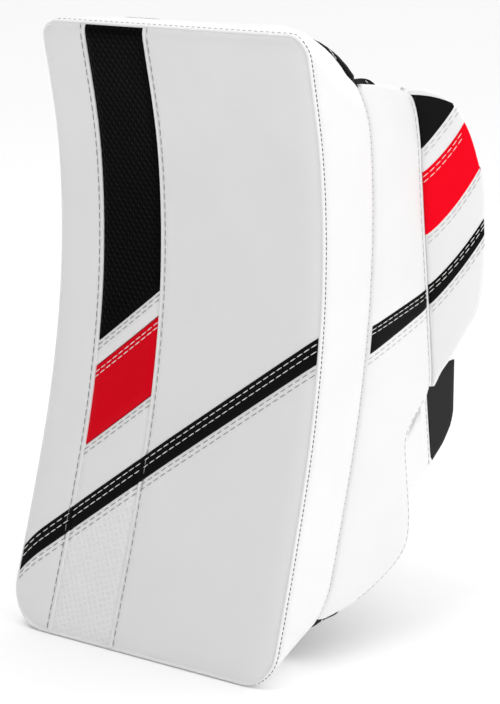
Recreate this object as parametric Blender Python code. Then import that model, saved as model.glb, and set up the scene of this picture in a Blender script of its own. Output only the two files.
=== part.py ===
"""Goalie blocker for the right hand: a padded board, a sidewall with a flared wing, and a glove behind.

Metres, +Z up. The blocker hangs as worn, fingers down. The origin is the middle of the hand.
X runs across the board towards the thumb, -Y is the way the face looks, +Y is the palm side.
"""

import math

import bmesh
import bpy
from mathutils import Vector

# --- Board: a pad with a hollow-curved face -------------------------------------------------
BOARD_BOTTOM = -0.205
BOARD_TOP = 0.171
HALF_WIDTH = 0.100
LEFT_SCALE = (0.995, 0.945)  # share of HALF_WIDTH at the bottom and the top, little-finger side
RIGHT_SCALE = (1.020, 0.990)  # the same on the thumb side
FACE_PROFILE = (-0.1414, -0.1166, -0.0961, -0.0856, -0.0875, -0.1029)  # y of the face, bottom to top
DEPTH_BOTTOM = 0.047
DEPTH_TOP = 0.055
FRONT_RADII = {"left_low": 0.028, "right_low": 0.020, "right_top": 0.014, "left_top": 0.012}
INNER_RADII = {"left_low": 0.032, "right_low": 0.028, "right_top": 0.028, "left_top": 0.022}
REAR_RADII = {"left_low": 0.032, "right_low": 0.030, "right_top": 0.068, "left_top": 0.026}

SKIN = 0.0020  # coated fabric with its backing
CLEAR = 0.0005  # air between layers that follow one another's curve
TRIM_CLEAR = 0.0003
FOAM_FRONT = SKIN + CLEAR
FOAM_BACK = 0.0115
PLATE_FRONT = FOAM_BACK + CLEAR
PLATE_BACK = PLATE_FRONT + 0.0025
CORE_FRONT = PLATE_BACK + CLEAR
COVER = 0.0015
GUSSET = 0.0018
FILL_INSET = 0.0032  # foam stays this far inside the outer outline
ROWS = 12

# --- Face panels ----------------------------------------------------------------------------
INLAY_LEFT = -0.0655
INLAY_RIGHT = -0.0168
SEAM = 0.0003
BAND_SLOPE = 0.80  # how steeply the coloured bands rise across the face
INLAY_BLACK_LOW = 0.022  # height of each band's edge where it meets x = 0
INLAY_RED_HIGH = 0.006
INLAY_RED_LOW = -0.0425
STRIPE_SLOPE = 0.76
STRIPE_HIGH = -0.0775
STRIPE_LOW = -0.0922
TRIM = 0.0008

# --- Sidewall and wing ----------------------------------------------------------------------
SIDE_LEAN = 0.17  # the sidewall opens outwards as it runs back
TUCK_RUN = 0.036  # by here it has left the board's rounded rear corner, which it is sewn to
# Rear edge of the sidewall, as height and y, from its lower tip round to the top.
REAR_EDGE = (
    (-0.179, -0.076), (-0.173, -0.053), (-0.161, -0.023), (-0.150, -0.0085), (-0.135, -0.0035),
    (-0.108, -0.0035), (-0.083, -0.0035), (-0.072, 0.0030), (-0.060, 0.0150), (-0.050, 0.0185),
    (-0.020, 0.0178), (0.010, 0.0160), (0.040, 0.0135), (0.080, 0.0098), (0.105, 0.0070),
    (0.122, 0.0010), (0.130, -0.0065), (0.134, -0.0180), (0.136, -0.0340),
)
SIDE_CORE = (0.0023, 0.0110)
SIDE_LINER = (0.0114, 0.0126)
WING_TURN = math.radians(40)  # the wing flares this far off the y axis
# Free edge of the wing, as height and reach from its seam.
WING_EDGE = (
    (-0.054, 0.0025), (-0.045, 0.0070), (-0.035, 0.0147), (-0.0255, 0.0210), (-0.016, 0.0270),
    (-0.007, 0.0326), (0.012, 0.0362), (0.032, 0.0380), (0.050, 0.0390), (0.074, 0.0390),
    (0.096, 0.0335), (0.109, 0.0290), (0.118, 0.0245), (0.125, 0.0195), (0.129, 0.0120),
)
WING_GAP = 0.0011  # from the sidewall's rear edge to the wing
WING_CORE = (0.0023, 0.0070)
WING_LINER = (0.0074, 0.0084)

# --- Glove ----------------------------------------------------------------------------------
HAND_LEFT = -0.0485
HAND_HALF_DEPTH = 0.0215
PALM_LOW = -0.036
PALM_HIGH = 0.070
KNUCKLE = Vector((0.0, 0.0, -0.050))
FINGER_PITCH = 0.0235
FINGER_WIDTH = 0.0229
FINGERS = ("little", "ring", "middle", "index")
FINGER_FIRST_X = -0.0350
FINGER_LENGTHS = {"little": 0.070, "ring": 0.082, "middle": 0.087, "index": 0.080}
FINGER_BACK = -0.0205  # y of each finger's outer padding, of its side seam and of its palm side
FINGER_SEAM = -0.0104
FINGER_PALM = 0.0135
STALL_WALL = 0.0018
THUMB_BASE = Vector((0.080, 0.036, -0.042))
THUMB_TIP = -0.128
GUARD_FACE = 0.104
STRAP_LOW = 0.028
STRAP_HIGH = 0.060
STRAP_HINGE = Vector((-0.044, 0.0288, 0.044))


def clear_scene():
    for obj in list(bpy.data.objects):
        bpy.data.objects.remove(obj, do_unlink=True)


def material(name, colour, roughness, metallic=0.0):
    mat = bpy.data.materials.get(name)
    if mat is None:
        mat = bpy.data.materials.new(name)
        mat.use_nodes = True
        shader = mat.node_tree.nodes["Principled BSDF"]
        shader.inputs["Base Color"].default_value = (*colour, 1.0)
        shader.inputs["Roughness"].default_value = roughness
        shader.inputs["Metallic"].default_value = metallic
    return mat


def white_leather():
    return material("white coated fabric", (0.82, 0.82, 0.82), 0.42)


def black_leather():
    return material("black coated fabric", (0.008, 0.008, 0.009), 0.45)


def red_leather():
    return material("red coated fabric", (0.62, 0.004, 0.012), 0.40)


def black_nylon():
    return material("black nylon", (0.012, 0.012, 0.013), 0.75)


def foam():
    return material("closed-cell foam", (0.18, 0.18, 0.19), 0.9)


def plastic():
    return material("polyethylene sheet", (0.72, 0.72, 0.70), 0.35)


def palm_leather():
    return material("grey palm suede", (0.36, 0.36, 0.37), 0.85)


def mix(a, b, t):
    return a + (b - a) * t


def rise(z):
    """0 at the bottom of the board, 1 at its top."""
    return (z - BOARD_BOTTOM) / (BOARD_TOP - BOARD_BOTTOM)


def smooth_value(values, t):
    """Catmull-Rom curve through evenly spaced values, read at t from 0 to 1."""
    last = len(values) - 1
    place = min(max(t, 0.0), 1.0) * last
    i = min(int(place), last - 1)
    f = place - i
    before = values[i - 1] if i > 0 else 2 * values[0] - values[1]
    after = values[i + 2] if i + 2 <= last else 2 * values[last] - values[last - 1]
    a, b = values[i], values[i + 1]
    bend = (2 * before - 5 * a + 4 * b - after) * f * f
    twist = (3 * a - 3 * b + after - before) * f ** 3
    return 0.5 * (2 * a + (b - before) * f + bend + twist)


def table_value(table, z):
    """Straight-line reading of a table of (height, value)."""
    if z <= table[0][0]:
        return table[0][1]
    for (z0, a), (z1, b) in zip(table, table[1:]):
        if z <= z1:
            return mix(a, b, (z - z0) / (z1 - z0))
    return table[-1][1]


def face_y(z):
    return smooth_value(FACE_PROFILE, rise(z))


def depth(z):
    return mix(DEPTH_BOTTOM, DEPTH_TOP, rise(z))


def rim_y(z):
    return face_y(z) + depth(z)


def board_x(x, z):
    """The board's slight taper, applied to a nominal x."""
    low, high = LEFT_SCALE if x < 0 else RIGHT_SCALE
    return x * mix(low, high, rise(z))


def corner_cut(radius, run):
    """How far a rounded corner cuts in, run metres from the side it starts at."""
    if run >= radius:
        return 0.0
    return radius - math.sqrt(max(radius ** 2 - (radius - run) ** 2, 0.0))


def on_board(x, z, deep):
    return Vector((board_x(x, z), face_y(z) + deep, z))


def side_x(y, z):
    """x of the sidewall's outer surface: it starts on the board's rear corner and opens out behind it."""
    back = y - rim_y(z)
    tuck = corner_cut(REAR_RADII["right_top"], BOARD_TOP - z) * min(max(1 - back / TUCK_RUN, 0.0), 1.0)
    return board_x(HALF_WIDTH - tuck, z) + SIDE_LEAN * back


def on_side(share, z, inward):
    """A point of the sidewall, share 0 at the board and 1 at its rear edge."""
    y = mix(rim_y(z) + 0.0015, table_value(REAR_EDGE, z), share)
    return Vector((side_x(y, z) - inward, y, z))


def on_wing(reach, z, inward):
    """A point of the wing, reach metres out from its seam with the sidewall."""
    y = table_value(REAR_EDGE, z)
    along = Vector((math.sin(WING_TURN), math.cos(WING_TURN), 0.0))
    out = Vector((math.cos(WING_TURN), -math.sin(WING_TURN), 0.0))
    return Vector((side_x(y, z), y, z)) + along * (reach + WING_GAP) - out * inward


def finish(name, bm, mat, pivot=None):
    """Turns the working mesh into a named object, with its origin on its pivot if it moves."""
    bmesh.ops.recalc_face_normals(bm, faces=bm.faces)
    if pivot is not None:
        bmesh.ops.translate(bm, verts=bm.verts, vec=-pivot)
    mesh = bpy.data.meshes.new(name)
    bm.to_mesh(mesh)
    bm.free()
    mesh.materials.append(mat)
    mesh.shade_smooth()
    mesh.set_sharp_from_angle(angle=math.radians(30))
    obj = bpy.data.objects.new(name, mesh)
    bpy.context.scene.collection.objects.link(obj)
    if pivot is not None:
        obj.location = pivot
    return obj


def lattice(name, mat, near, far, pivot=None):
    """A closed slab between two equal grids of points, near[i][j] and far[i][j]."""
    bm = bmesh.new()
    sheets = [[[bm.verts.new(p) for p in line] for line in grid] for grid in (near, far)]
    columns, rows = len(near), len(near[0])
    for grid in sheets:
        for i in range(columns - 1):
            for j in range(rows - 1):
                bm.faces.new((grid[i][j], grid[i + 1][j], grid[i + 1][j + 1], grid[i][j + 1]))
    front, back = sheets
    for i in range(columns - 1):
        for j in (0, rows - 1):
            bm.faces.new((front[i][j], front[i + 1][j], back[i + 1][j], back[i][j]))
    for j in range(rows - 1):
        for i in (0, columns - 1):
            bm.faces.new((front[i][j], front[i][j + 1], back[i][j + 1], back[i][j]))
    return finish(name, bm, mat, pivot)


def sheet_grid(columns, low, high, rows, place, inward):
    """Grid of points: at each column, rows evenly spaced from low to high."""
    grid = []
    for u in columns:
        bottom, top = low(u), high(u)
        grid.append([place(u, mix(bottom, top, j / rows), inward(u, mix(bottom, top, j / rows)))
                     for j in range(rows + 1)])
    return grid


def slab(name, mat, columns, low, high, rows, place, near, far, pivot=None):
    """A layer of even or varying thickness. near and far are numbers or functions of the place."""
    near_at = near if callable(near) else lambda u, v: near
    far_at = far if callable(far) else lambda u, v: far
    front = sheet_grid(columns, low, high, rows, place, near_at)
    back = sheet_grid(columns, low, high, rows, place, far_at)
    return lattice(name, mat, front, back, pivot)


def box(name, mat, low, high, bevel=0.0, pivot=None):
    """A block between two corners, its edges rounded by a live Bevel."""
    middle = (Vector(low) + Vector(high)) / 2
    bm = bmesh.new()
    bmesh.ops.create_cube(bm, size=1.0)
    bmesh.ops.scale(bm, verts=bm.verts, vec=Vector(high) - Vector(low))
    bmesh.ops.translate(bm, verts=bm.verts, vec=middle)
    obj = finish(name, bm, mat, pivot)
    if bevel:
        modifier = obj.modifiers.new("Rounded edges", "BEVEL")
        modifier.width = bevel
        modifier.segments = 2
    return obj


# --- Board outline --------------------------------------------------------------------------

def board_low(radii, inset):
    edge = HALF_WIDTH - inset

    def low(x):
        left = corner_cut(radii["left_low"] - inset, x + edge)
        right = corner_cut(radii["right_low"] - inset, edge - x)
        return BOARD_BOTTOM + inset + max(left, right)
    return low


def board_high(radii, inset):
    edge = HALF_WIDTH - inset

    def high(x):
        left = corner_cut(radii["left_top"] - inset, x + edge)
        right = corner_cut(radii["right_top"] - inset, edge - x)
        return BOARD_TOP - inset - max(left, right)
    return high


def corner_columns(radius, edge, side, steps=4):
    """x of the columns that a rounded corner needs, from its start to the side."""
    turns = [math.radians(90) * i / steps for i in range(steps + 1)]
    return [side * (edge - radius * (1 - math.sin(turn))) for turn in turns]


def board_columns(radii, inset, start, end):
    """Columns across the board between two nominal x, close together at its corners."""
    edge = HALF_WIDTH - inset
    found = {start, end}
    for corner, radius in radii.items():
        side = -1 if corner.startswith("left") else 1
        found |= {x for x in corner_columns(radius - inset, edge, side) if start < x < end}
    ordered = sorted(found)
    kept = [ordered[0]]
    for x in ordered[1:-1]:
        if x - kept[-1] > 0.0012 and end - x > 0.0012:
            kept.append(x)
    return kept + [ordered[-1]]


def board_layer(name, mat, radii, inset, near, far, start=-HALF_WIDTH, end=HALF_WIDTH):
    edge = HALF_WIDTH - inset
    columns = board_columns(radii, inset, max(start, -edge), min(end, edge))
    return slab(name, mat, columns, board_low(radii, inset), board_high(radii, inset), ROWS,
                on_board, near, far)


def outline(radii, inset, steps=4, side_rows=9):
    """Nominal (x, z) round the board, anticlockwise from the lower left corner."""
    edge = HALF_WIDTH - inset
    low, high = BOARD_BOTTOM + inset, BOARD_TOP - inset
    corners = (
        ("left_low", -1, -1, 180), ("right_low", 1, -1, 270),
        ("right_top", 1, 1, 0), ("left_top", -1, 1, 90),
    )
    points = []
    for corner, across, up, start in corners:
        radius = radii[corner] - inset
        centre_x = across * (edge - radius)
        centre_z = (low if up < 0 else high) - up * radius
        arc = [math.radians(start + 90 * i / steps) for i in range(steps + 1)]
        points += [(centre_x + radius * math.cos(a), centre_z + radius * math.sin(a)) for a in arc]
        if corner in ("right_low", "left_top"):
            upper = "right_top" if corner == "right_low" else "left_low"
            bottom = BOARD_BOTTOM + radii["right_low" if across > 0 else "left_low"]
            top = BOARD_TOP - radii["right_top" if across > 0 else "left_top"]
            first, last = (bottom, top) if upper == "right_top" else (top, bottom)
            points += [(across * edge, mix(first, last, j / side_rows)) for j in range(1, side_rows)]
    return points


def board_ring(name, mat, loops):
    """A closed band round the board. loops are its edges in order, as (radii, inset, depth function)."""
    bm = bmesh.new()
    rings = []
    for radii, inset, deep in loops:
        rings.append([bm.verts.new(on_board(x, z, deep(z))) for x, z in outline(radii, inset)])
    for first, second in zip(rings, rings[1:] + rings[:1]):
        for i in range(len(first)):
            k = (i + 1) % len(first)
            bm.faces.new((first[i], first[k], second[k], second[i]))
    return finish(name, bm, mat)


# --- The board and its face -----------------------------------------------------------------

def make_board():
    board_layer("face_foam", foam(), INNER_RADII, FILL_INSET, FOAM_FRONT, FOAM_BACK)
    board_layer("stiffener_plate", plastic(), INNER_RADII, FILL_INSET + 0.004, PLATE_FRONT, PLATE_BACK)
    board_layer("core_foam", foam(), REAR_RADII, FILL_INSET, CORE_FRONT,
                lambda x, z: depth(z) - COVER - 2 * CLEAR)
    board_layer("back_cover", black_nylon(), REAR_RADII, 0.0040,
                lambda x, z: depth(z) - COVER, lambda x, z: depth(z))
    gusset_back = COVER + CLEAR
    board_ring("board_gusset", white_leather(), (
        (FRONT_RADII, 0.0, lambda z: SKIN + CLEAR),
        (REAR_RADII, 0.0, lambda z: depth(z) - gusset_back),
        (REAR_RADII, GUSSET, lambda z: depth(z) - gusset_back),
        (FRONT_RADII, GUSSET, lambda z: SKIN + CLEAR),
    ))
    board_ring("face_welt", white_leather(), (
        (FRONT_RADII, 0.0030, lambda z: -TRIM),
        (FRONT_RADII, 0.0008, lambda z: -TRIM / 2),
        (FRONT_RADII, 0.0, lambda z: SKIN),
        (FRONT_RADII, 0.0030, lambda z: SKIN),
    ))
    board_ring("back_binding", black_nylon(), (
        (REAR_RADII, 0.0026, lambda z: depth(z) - COVER),
        (REAR_RADII, 0.0000, lambda z: depth(z) - COVER),
        (REAR_RADII, 0.0000, lambda z: depth(z) + TRIM),
        (REAR_RADII, 0.0026, lambda z: depth(z) + TRIM),
    ))


def face_piece(name, mat, start, end, low, high, rows, near=0.0, far=SKIN, steps=2):
    columns = [mix(start, end, i / steps) for i in range(steps + 1)]
    slab(name, mat, columns, low, high, rows, on_board, near, far)


def band(height, slope=BAND_SLOPE):
    return lambda x: height + slope * x


def stripe_edge(height):
    """The long stripe's edge, bowed a little upwards across the face."""
    return lambda x: height + STRIPE_SLOPE * x - 0.18 * (x + 0.02) ** 2


def make_face():
    inset = 0.0034
    rim_low, rim_high = board_low(FRONT_RADII, inset), board_high(FRONT_RADII, inset)
    board_layer("face_left_panel", white_leather(), FRONT_RADII, inset, 0.0, SKIN,
                end=INLAY_LEFT - SEAM)
    board_layer("face_right_panel", white_leather(), FRONT_RADII, inset, 0.0, SKIN,
                start=INLAY_RIGHT + SEAM)
    lowered = 2 * SEAM
    start, end = INLAY_LEFT + SEAM, INLAY_RIGHT - SEAM
    face_piece("inlay_black", black_leather(), start, end, band(INLAY_BLACK_LOW + lowered), rim_high, 8)
    face_piece("inlay_white_band", white_leather(), start, end,
               band(INLAY_RED_HIGH + lowered), band(INLAY_BLACK_LOW), 2)
    face_piece("inlay_red", red_leather(), start, end,
               band(INLAY_RED_LOW + lowered), band(INLAY_RED_HIGH), 3)
    face_piece("inlay_white_panel", white_leather(), start, end, rim_low, band(INLAY_RED_LOW), 7)
    limit = HALF_WIDTH - inset
    lift = 2 * TRIM_CLEAR
    face_piece("face_stripe", black_leather(), -limit, limit, stripe_edge(STRIPE_LOW),
               stripe_edge(STRIPE_HIGH), 3, near=-TRIM - lift, far=-lift, steps=20)


# --- Sidewall, wing and the cloth that closes the gaps beside the board ---------------------

def side_grid(inward):
    heights = [z for z, _ in REAR_EDGE]
    return [[on_side(share, z, inward) for z in heights] for share in (0.0, 0.33, 0.67, 1.0)]


def make_sidewall():
    lattice("sidewall_shell", white_leather(), side_grid(0.0), side_grid(SKIN))
    lattice("sidewall_core", foam(), side_grid(SIDE_CORE[0]), side_grid(SIDE_CORE[1]))
    lattice("sidewall_liner", black_nylon(), side_grid(SIDE_LINER[0]), side_grid(SIDE_LINER[1]))

    def edge(at_board, at_seam):
        return lambda share: mix(at_board, at_seam, share)
    slab("sidewall_stripe", black_leather(), [i / 4 for i in range(5)], edge(-0.0245, -0.0022),
         edge(-0.0092, 0.0075), 1, on_side, -TRIM - TRIM_CLEAR, -TRIM_CLEAR)


def wing_grid(inward):
    return [[on_wing(share * reach, z, inward) for z, reach in WING_EDGE]
            for share in (0.0, 0.5, 1.0)]


def wing_piece(name, mat, low, high, reaches, rows=2):
    slab(name, mat, reaches, low, high, rows, on_wing, -TRIM - 2 * TRIM_CLEAR, -2 * TRIM_CLEAR)


def wing_top(reach):
    """Height of the wing's free edge, on its upper side, at this reach."""
    falling = [(r, z) for z, r in reversed(WING_EDGE)]
    return table_value(falling[:falling.index((0.0390, 0.074)) + 1], reach)


def make_wing():
    lattice("wing_shell", white_leather(), wing_grid(0.0), wing_grid(SKIN))
    lattice("wing_core", foam(), wing_grid(WING_CORE[0]), wing_grid(WING_CORE[1]))
    lattice("wing_liner", black_nylon(), wing_grid(WING_LINER[0]), wing_grid(WING_LINER[1]))

    def curve(height, slope, bow):
        return lambda reach: height + slope * reach + bow * reach ** 2
    wing_piece("wing_black_panel", black_leather(), curve(0.0955, 1.05, 0.0), curve(0.1265, 0.0, -14.0),
               [0.0012, 0.007, 0.014, 0.020])
    red_top = curve(0.081, 1.00, 0.0)
    wing_piece("wing_red_panel", red_leather(), curve(0.042, 0.80, 7.0),
               lambda reach: min(red_top(reach), wing_top(reach + 0.001)),
               [0.0006, 0.009, 0.018, 0.0245, 0.028, 0.032, 0.036], 3)
    wing_piece("wing_stripe", black_leather(), curve(-0.0022, 0.86, 6.5), curve(0.0075, 0.90, 7.5),
               [0.0006, 0.010, 0.019, 0.028, 0.0372])


def make_corner_cloths():
    """Black cloth that closes the wedge between the board's back and the sidewall, top and bottom."""
    def closing(name, low, high, reach):
        def place(share, z, inward):
            y = rim_y(z) + 0.0040 + share * reach
            return Vector((side_x(y, z) - 0.0132 - inward, y, z))
        slab(name, black_nylon(), [0.0, 0.5, 1.0], lambda u: low, lambda u: high, 2, place, 0.0, COVER)
    closing("top_corner_cloth", 0.118, 0.141, 0.013)
    closing("bottom_corner_cloth", -0.184, -0.160, 0.012)


# --- Glove behind the board -----------------------------------------------------------------

def pad_on_back(name, low, high, left, right, back):
    """A pad that fills the space from the board's curved back to a flat plane."""
    def place(x, z, y):
        return Vector((x, y, z))
    columns = [mix(left, right, i / 3) for i in range(4)]
    return slab(name, black_nylon(), columns, lambda x: low, lambda x: high, 5, place,
                lambda x, z: rim_y(z) + 0.0015, lambda x, z: back)


def make_hand():
    pad_on_back("backhand_pad", -0.046, 0.068, HAND_LEFT, 0.080, -HAND_HALF_DEPTH)
    pad_on_back("wrist_pad", 0.0705, 0.118, -0.040, 0.070, -0.026)
    box("hand_side_panel", black_nylon(), (HAND_LEFT - 0.0022, -0.0310, PALM_LOW),
        (HAND_LEFT - 0.0004, HAND_HALF_DEPTH, PALM_HIGH))

    def palm(x, z, y):
        return Vector((x, y, z))
    palm_step = 0.0530

    def palm_low(x):
        return PALM_LOW if x < palm_step else 0.006
    slab("palm_panel", palm_leather(), [-0.0507, 0.0, palm_step - 0.001, palm_step, 0.092],
         palm_low, lambda x: PALM_HIGH, 3, palm, HAND_HALF_DEPTH + 0.0004, HAND_HALF_DEPTH + 0.0026)
    face = HAND_HALF_DEPTH + 0.0029
    box("palm_patch", palm_leather(), (-0.034, face, -0.033), (0.046, face + 0.0012, 0.012), 0.0004)
    box("strap_loop_patch", black_nylon(), (0.016, face, STRAP_LOW + 0.002),
        (0.052, face + 0.0010, STRAP_HIGH - 0.002))
    box("strap_anchor", black_nylon(), (-0.0505, face, STRAP_LOW),
        (-0.0447, face + 0.0030, STRAP_HIGH), 0.0004)


def make_strap():
    face = HAND_HALF_DEPTH + 0.0029
    hook = face + 0.0013
    box("strap_hook_patch", black_nylon(), (0.016, hook, STRAP_LOW + 0.003),
        (0.050, hook + 0.0008, STRAP_HIGH - 0.003), pivot=STRAP_HINGE)
    web = hook + 0.0011
    box("wrist_strap", black_nylon(), (STRAP_HINGE.x + 0.001, web, STRAP_LOW),
        (0.056, web + 0.0020, STRAP_HIGH), 0.0004, pivot=STRAP_HINGE)
    box("strap_pull_tab", red_leather(), (0.0564, web - 0.0004, STRAP_LOW + 0.004),
        (0.070, web + 0.0024, STRAP_HIGH - 0.004), 0.0006, pivot=STRAP_HINGE)


def stall(name, low, high, open_back, pivot):
    """A stall's soft skin: a long box, open at the top and, on a finger, towards the back of the hand."""
    skin = box(name, palm_leather(), low, high, pivot=pivot)
    past = 0.010
    front = low[1] - past if open_back else low[1] + STALL_WALL
    hollow = box(name + "_hollow", palm_leather(), (low[0] + STALL_WALL, front, low[2] + STALL_WALL),
                 (high[0] - STALL_WALL, high[1] - STALL_WALL, high[2] + past), pivot=pivot)
    hollow.hide_render = True
    hollow.display_type = "WIRE"
    cut = skin.modifiers.new("Hollow", "BOOLEAN")
    cut.operation = "DIFFERENCE"
    cut.object = hollow


def make_fingers():
    for i, finger in enumerate(FINGERS):
        x = FINGER_FIRST_X + i * FINGER_PITCH
        pivot = Vector((x, KNUCKLE.y, KNUCKLE.z))
        left, right = x - FINGER_WIDTH / 2, x + FINGER_WIDTH / 2
        top = KNUCKLE.z - 0.002
        bottom = top - FINGER_LENGTHS[finger]
        box(finger + "_finger_pad", white_leather(), (left, FINGER_BACK, bottom), (right, FINGER_SEAM, top),
            0.0030, pivot=pivot)
        stall(finger + "_finger_palm", (left, FINGER_SEAM + CLEAR, bottom), (right, FINGER_PALM, top),
              True, pivot)


def make_thumb():
    top = THUMB_BASE.z - 0.004
    stall("thumb_stall", (0.0670, 0.0190, THUMB_TIP + 0.006), (0.0912, 0.0520, top), False, THUMB_BASE)

    lower = ((0.000, -0.1275), (0.010, -0.1225), (0.022, -0.1170), (0.036, -0.1095), (0.050, -0.0980),
             (0.058, -0.0880), (0.0615, -0.0780))
    upper = ((0.000, -0.0870), (0.010, -0.0800), (0.019, -0.0705), (0.0205, -0.0480), (0.030, -0.0440),
             (0.0615, -0.0440))
    columns = [0.000, 0.010, 0.019, 0.0205, 0.034, 0.048, 0.056, 0.0615]

    def place(y, z, inward):
        return Vector((GUARD_FACE - inward, y, z))

    def guard(name, mat, near, far):
        slab(name, mat, columns, lambda y: table_value(lower, y), lambda y: table_value(upper, y), 3,
             place, near, far, pivot=THUMB_BASE)
    guard("thumb_guard_shell", white_leather(), 0.0, SKIN)
    guard("thumb_guard_core", foam(), SKIN + TRIM_CLEAR, 0.0100)
    guard("thumb_guard_liner", black_nylon(), 0.0104, 0.0116)
    slab("thumb_guard_inlay", black_nylon(), [0.031, 0.036, 0.047, 0.056, 0.0600],
         lambda y: table_value(((0.031, -0.092), (0.036, -0.1060), (0.058, -0.0870), (0.060, -0.080)), y),
         lambda y: -0.046, 2, place, -TRIM - TRIM_CLEAR, -TRIM_CLEAR, pivot=THUMB_BASE)


clear_scene()
make_board()
make_face()
make_sidewall()
make_wing()
make_corner_cloths()
make_hand()
make_strap()
make_fingers()
make_thumb()
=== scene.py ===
# %% [markdown]
# # Goalie blocker
# A blocker is a padded board that a goalkeeper wears on the back of the stick hand. The board has a foam
# core and a stiff sheet inside a sewn cover; a sidewall and a flared wing guard the hand's thumb side, a
# small shield guards the thumb, and a glove is sewn behind. The frame holds the sizes and the joints.
# Here each piece gets its sewn shape, its thread and its finish, built around that frame.

# %% Load the frame
import math

import bmesh
import bpy
import numpy as np
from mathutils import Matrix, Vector
from mathutils.bvhtree import BVHTree


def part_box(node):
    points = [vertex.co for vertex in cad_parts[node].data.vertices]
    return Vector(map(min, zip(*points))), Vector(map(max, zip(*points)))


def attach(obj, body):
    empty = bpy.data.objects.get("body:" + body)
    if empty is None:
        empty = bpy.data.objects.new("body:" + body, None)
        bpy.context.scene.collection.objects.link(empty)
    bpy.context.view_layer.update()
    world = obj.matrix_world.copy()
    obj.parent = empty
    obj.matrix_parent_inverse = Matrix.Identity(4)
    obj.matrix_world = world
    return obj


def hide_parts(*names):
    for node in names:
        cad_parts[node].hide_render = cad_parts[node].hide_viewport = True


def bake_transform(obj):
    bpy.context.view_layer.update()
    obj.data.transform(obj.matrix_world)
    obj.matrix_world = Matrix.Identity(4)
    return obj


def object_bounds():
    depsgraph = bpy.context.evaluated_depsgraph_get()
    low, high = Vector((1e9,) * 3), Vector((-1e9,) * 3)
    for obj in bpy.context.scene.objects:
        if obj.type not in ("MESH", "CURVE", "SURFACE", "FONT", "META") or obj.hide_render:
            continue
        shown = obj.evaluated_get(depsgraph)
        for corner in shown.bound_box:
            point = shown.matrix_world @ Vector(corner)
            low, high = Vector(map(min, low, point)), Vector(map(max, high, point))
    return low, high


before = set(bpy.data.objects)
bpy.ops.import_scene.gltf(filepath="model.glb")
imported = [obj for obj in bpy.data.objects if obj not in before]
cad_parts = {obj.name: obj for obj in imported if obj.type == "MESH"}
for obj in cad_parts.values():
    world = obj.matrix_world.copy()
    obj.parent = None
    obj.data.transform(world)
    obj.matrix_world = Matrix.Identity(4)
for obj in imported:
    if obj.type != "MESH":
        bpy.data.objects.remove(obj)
cad_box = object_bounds()

# %% [markdown]
# ## Light, floor and camera
# A catalogue picture: the object stands before a pale floor, the light is wide and soft and comes mostly
# from the thumb side, so the sidewall is bright and the face, turned away from it, shades to grey. The
# plain Standard view keeps whites white. The camera is a long lens, a little above the object.

# %% Floor and light
CAMERA_AZIMUTH = math.radians(35.3)
CAMERA_ELEVATION = math.radians(13.6)
CAMERA_DISTANCE = 1.3203
CAMERA_TARGET = Vector((0.0, -0.105, -0.017))
CAMERA_RIGHT, CAMERA_DOWN, CAMERA_LENS = 0.0508, 0.0057, 112.5
FLOOR_SIZE, FLOOR_GAP, FLOOR_GLOW = 14.0, 0.0008, 0.06
scene = bpy.context.scene
scene.view_settings.view_transform = "Standard"


def linear(code):
    """An sRGB hex colour as linear RGBA."""
    def channel(value):
        return value / 12.92 if value <= 0.04045 else ((value + 0.055) / 1.055) ** 2.4
    number = int(code.lstrip("#"), 16)
    return (*(channel((number >> shift & 255) / 255) for shift in (16, 8, 0)), 1.0)


def add(tree, kind, inputs=None, **settings):
    """Adds a node: settings are its properties, inputs its sockets, as a value or a socket to link."""
    node = tree.nodes.new(kind)
    for name, value in settings.items():
        setattr(node, name, value)
    for key, value in (inputs or {}).items():
        if isinstance(value, bpy.types.NodeSocket):
            tree.links.new(value, node.inputs[key])
        else:
            node.inputs[key].default_value = value
    return node


def finish_of(name, values):
    """A new material: (material, its node tree, its shader), with constants set on the shader itself."""
    mat = bpy.data.materials.new(name)
    mat.use_nodes = True
    shader = mat.node_tree.nodes["Principled BSDF"]
    for socket, value in values.items():
        shader.inputs[socket].default_value = value
    return mat, mat.node_tree, shader


def soft_light(name, place, target, size, watts, colour="#ffffff"):
    data = bpy.data.lights.new(name, "AREA")
    data.shape = "DISK"
    data.size = size
    data.energy = watts
    data.color = linear(colour)[:3]
    lamp = bpy.data.objects.new(name, data)
    lamp.location = place
    lamp.rotation_euler = (Vector(target) - Vector(place)).to_track_quat("-Z", "Y").to_euler()
    scene.collection.objects.link(lamp)


def glow(tree, towards, strength):
    """Room light that is strongest from one direction and fades away from it."""
    direction = add(tree, "ShaderNodeTexCoord").outputs["Generated"]
    facing = add(tree, "ShaderNodeVectorMath", {0: direction, 1: Vector(towards).normalized()},
                 operation="DOT_PRODUCT")
    return add(tree, "ShaderNodeMapRange", {"Value": facing.outputs["Value"], "From Min": -0.1,
                                            "From Max": 1.0, "To Max": strength}).outputs[0]


world = bpy.data.worlds.new("Pale room")
world.use_nodes = True
room = world.node_tree
both = add(room, "ShaderNodeMath", {0: glow(room, (0.1, 0.75, 0.65), 1.46),
                                    1: glow(room, (-0.35, -0.75, 0.55), 0.34)}, operation="ADD")
room.links.new(both.outputs[0], room.nodes["Background"].inputs["Strength"])
room.nodes["Background"].inputs["Color"].default_value = linear("#ffffff")
scene.world = world
soft_light("Thumb-side light", (1.7, -0.35, 0.7), (0.05, -0.05, 0.0), 1.2, 8.2)
soft_light("High front light", (-0.25, -0.75, 2.1), (0.0, -0.1, 0.0), 0.9, 9.0)

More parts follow.
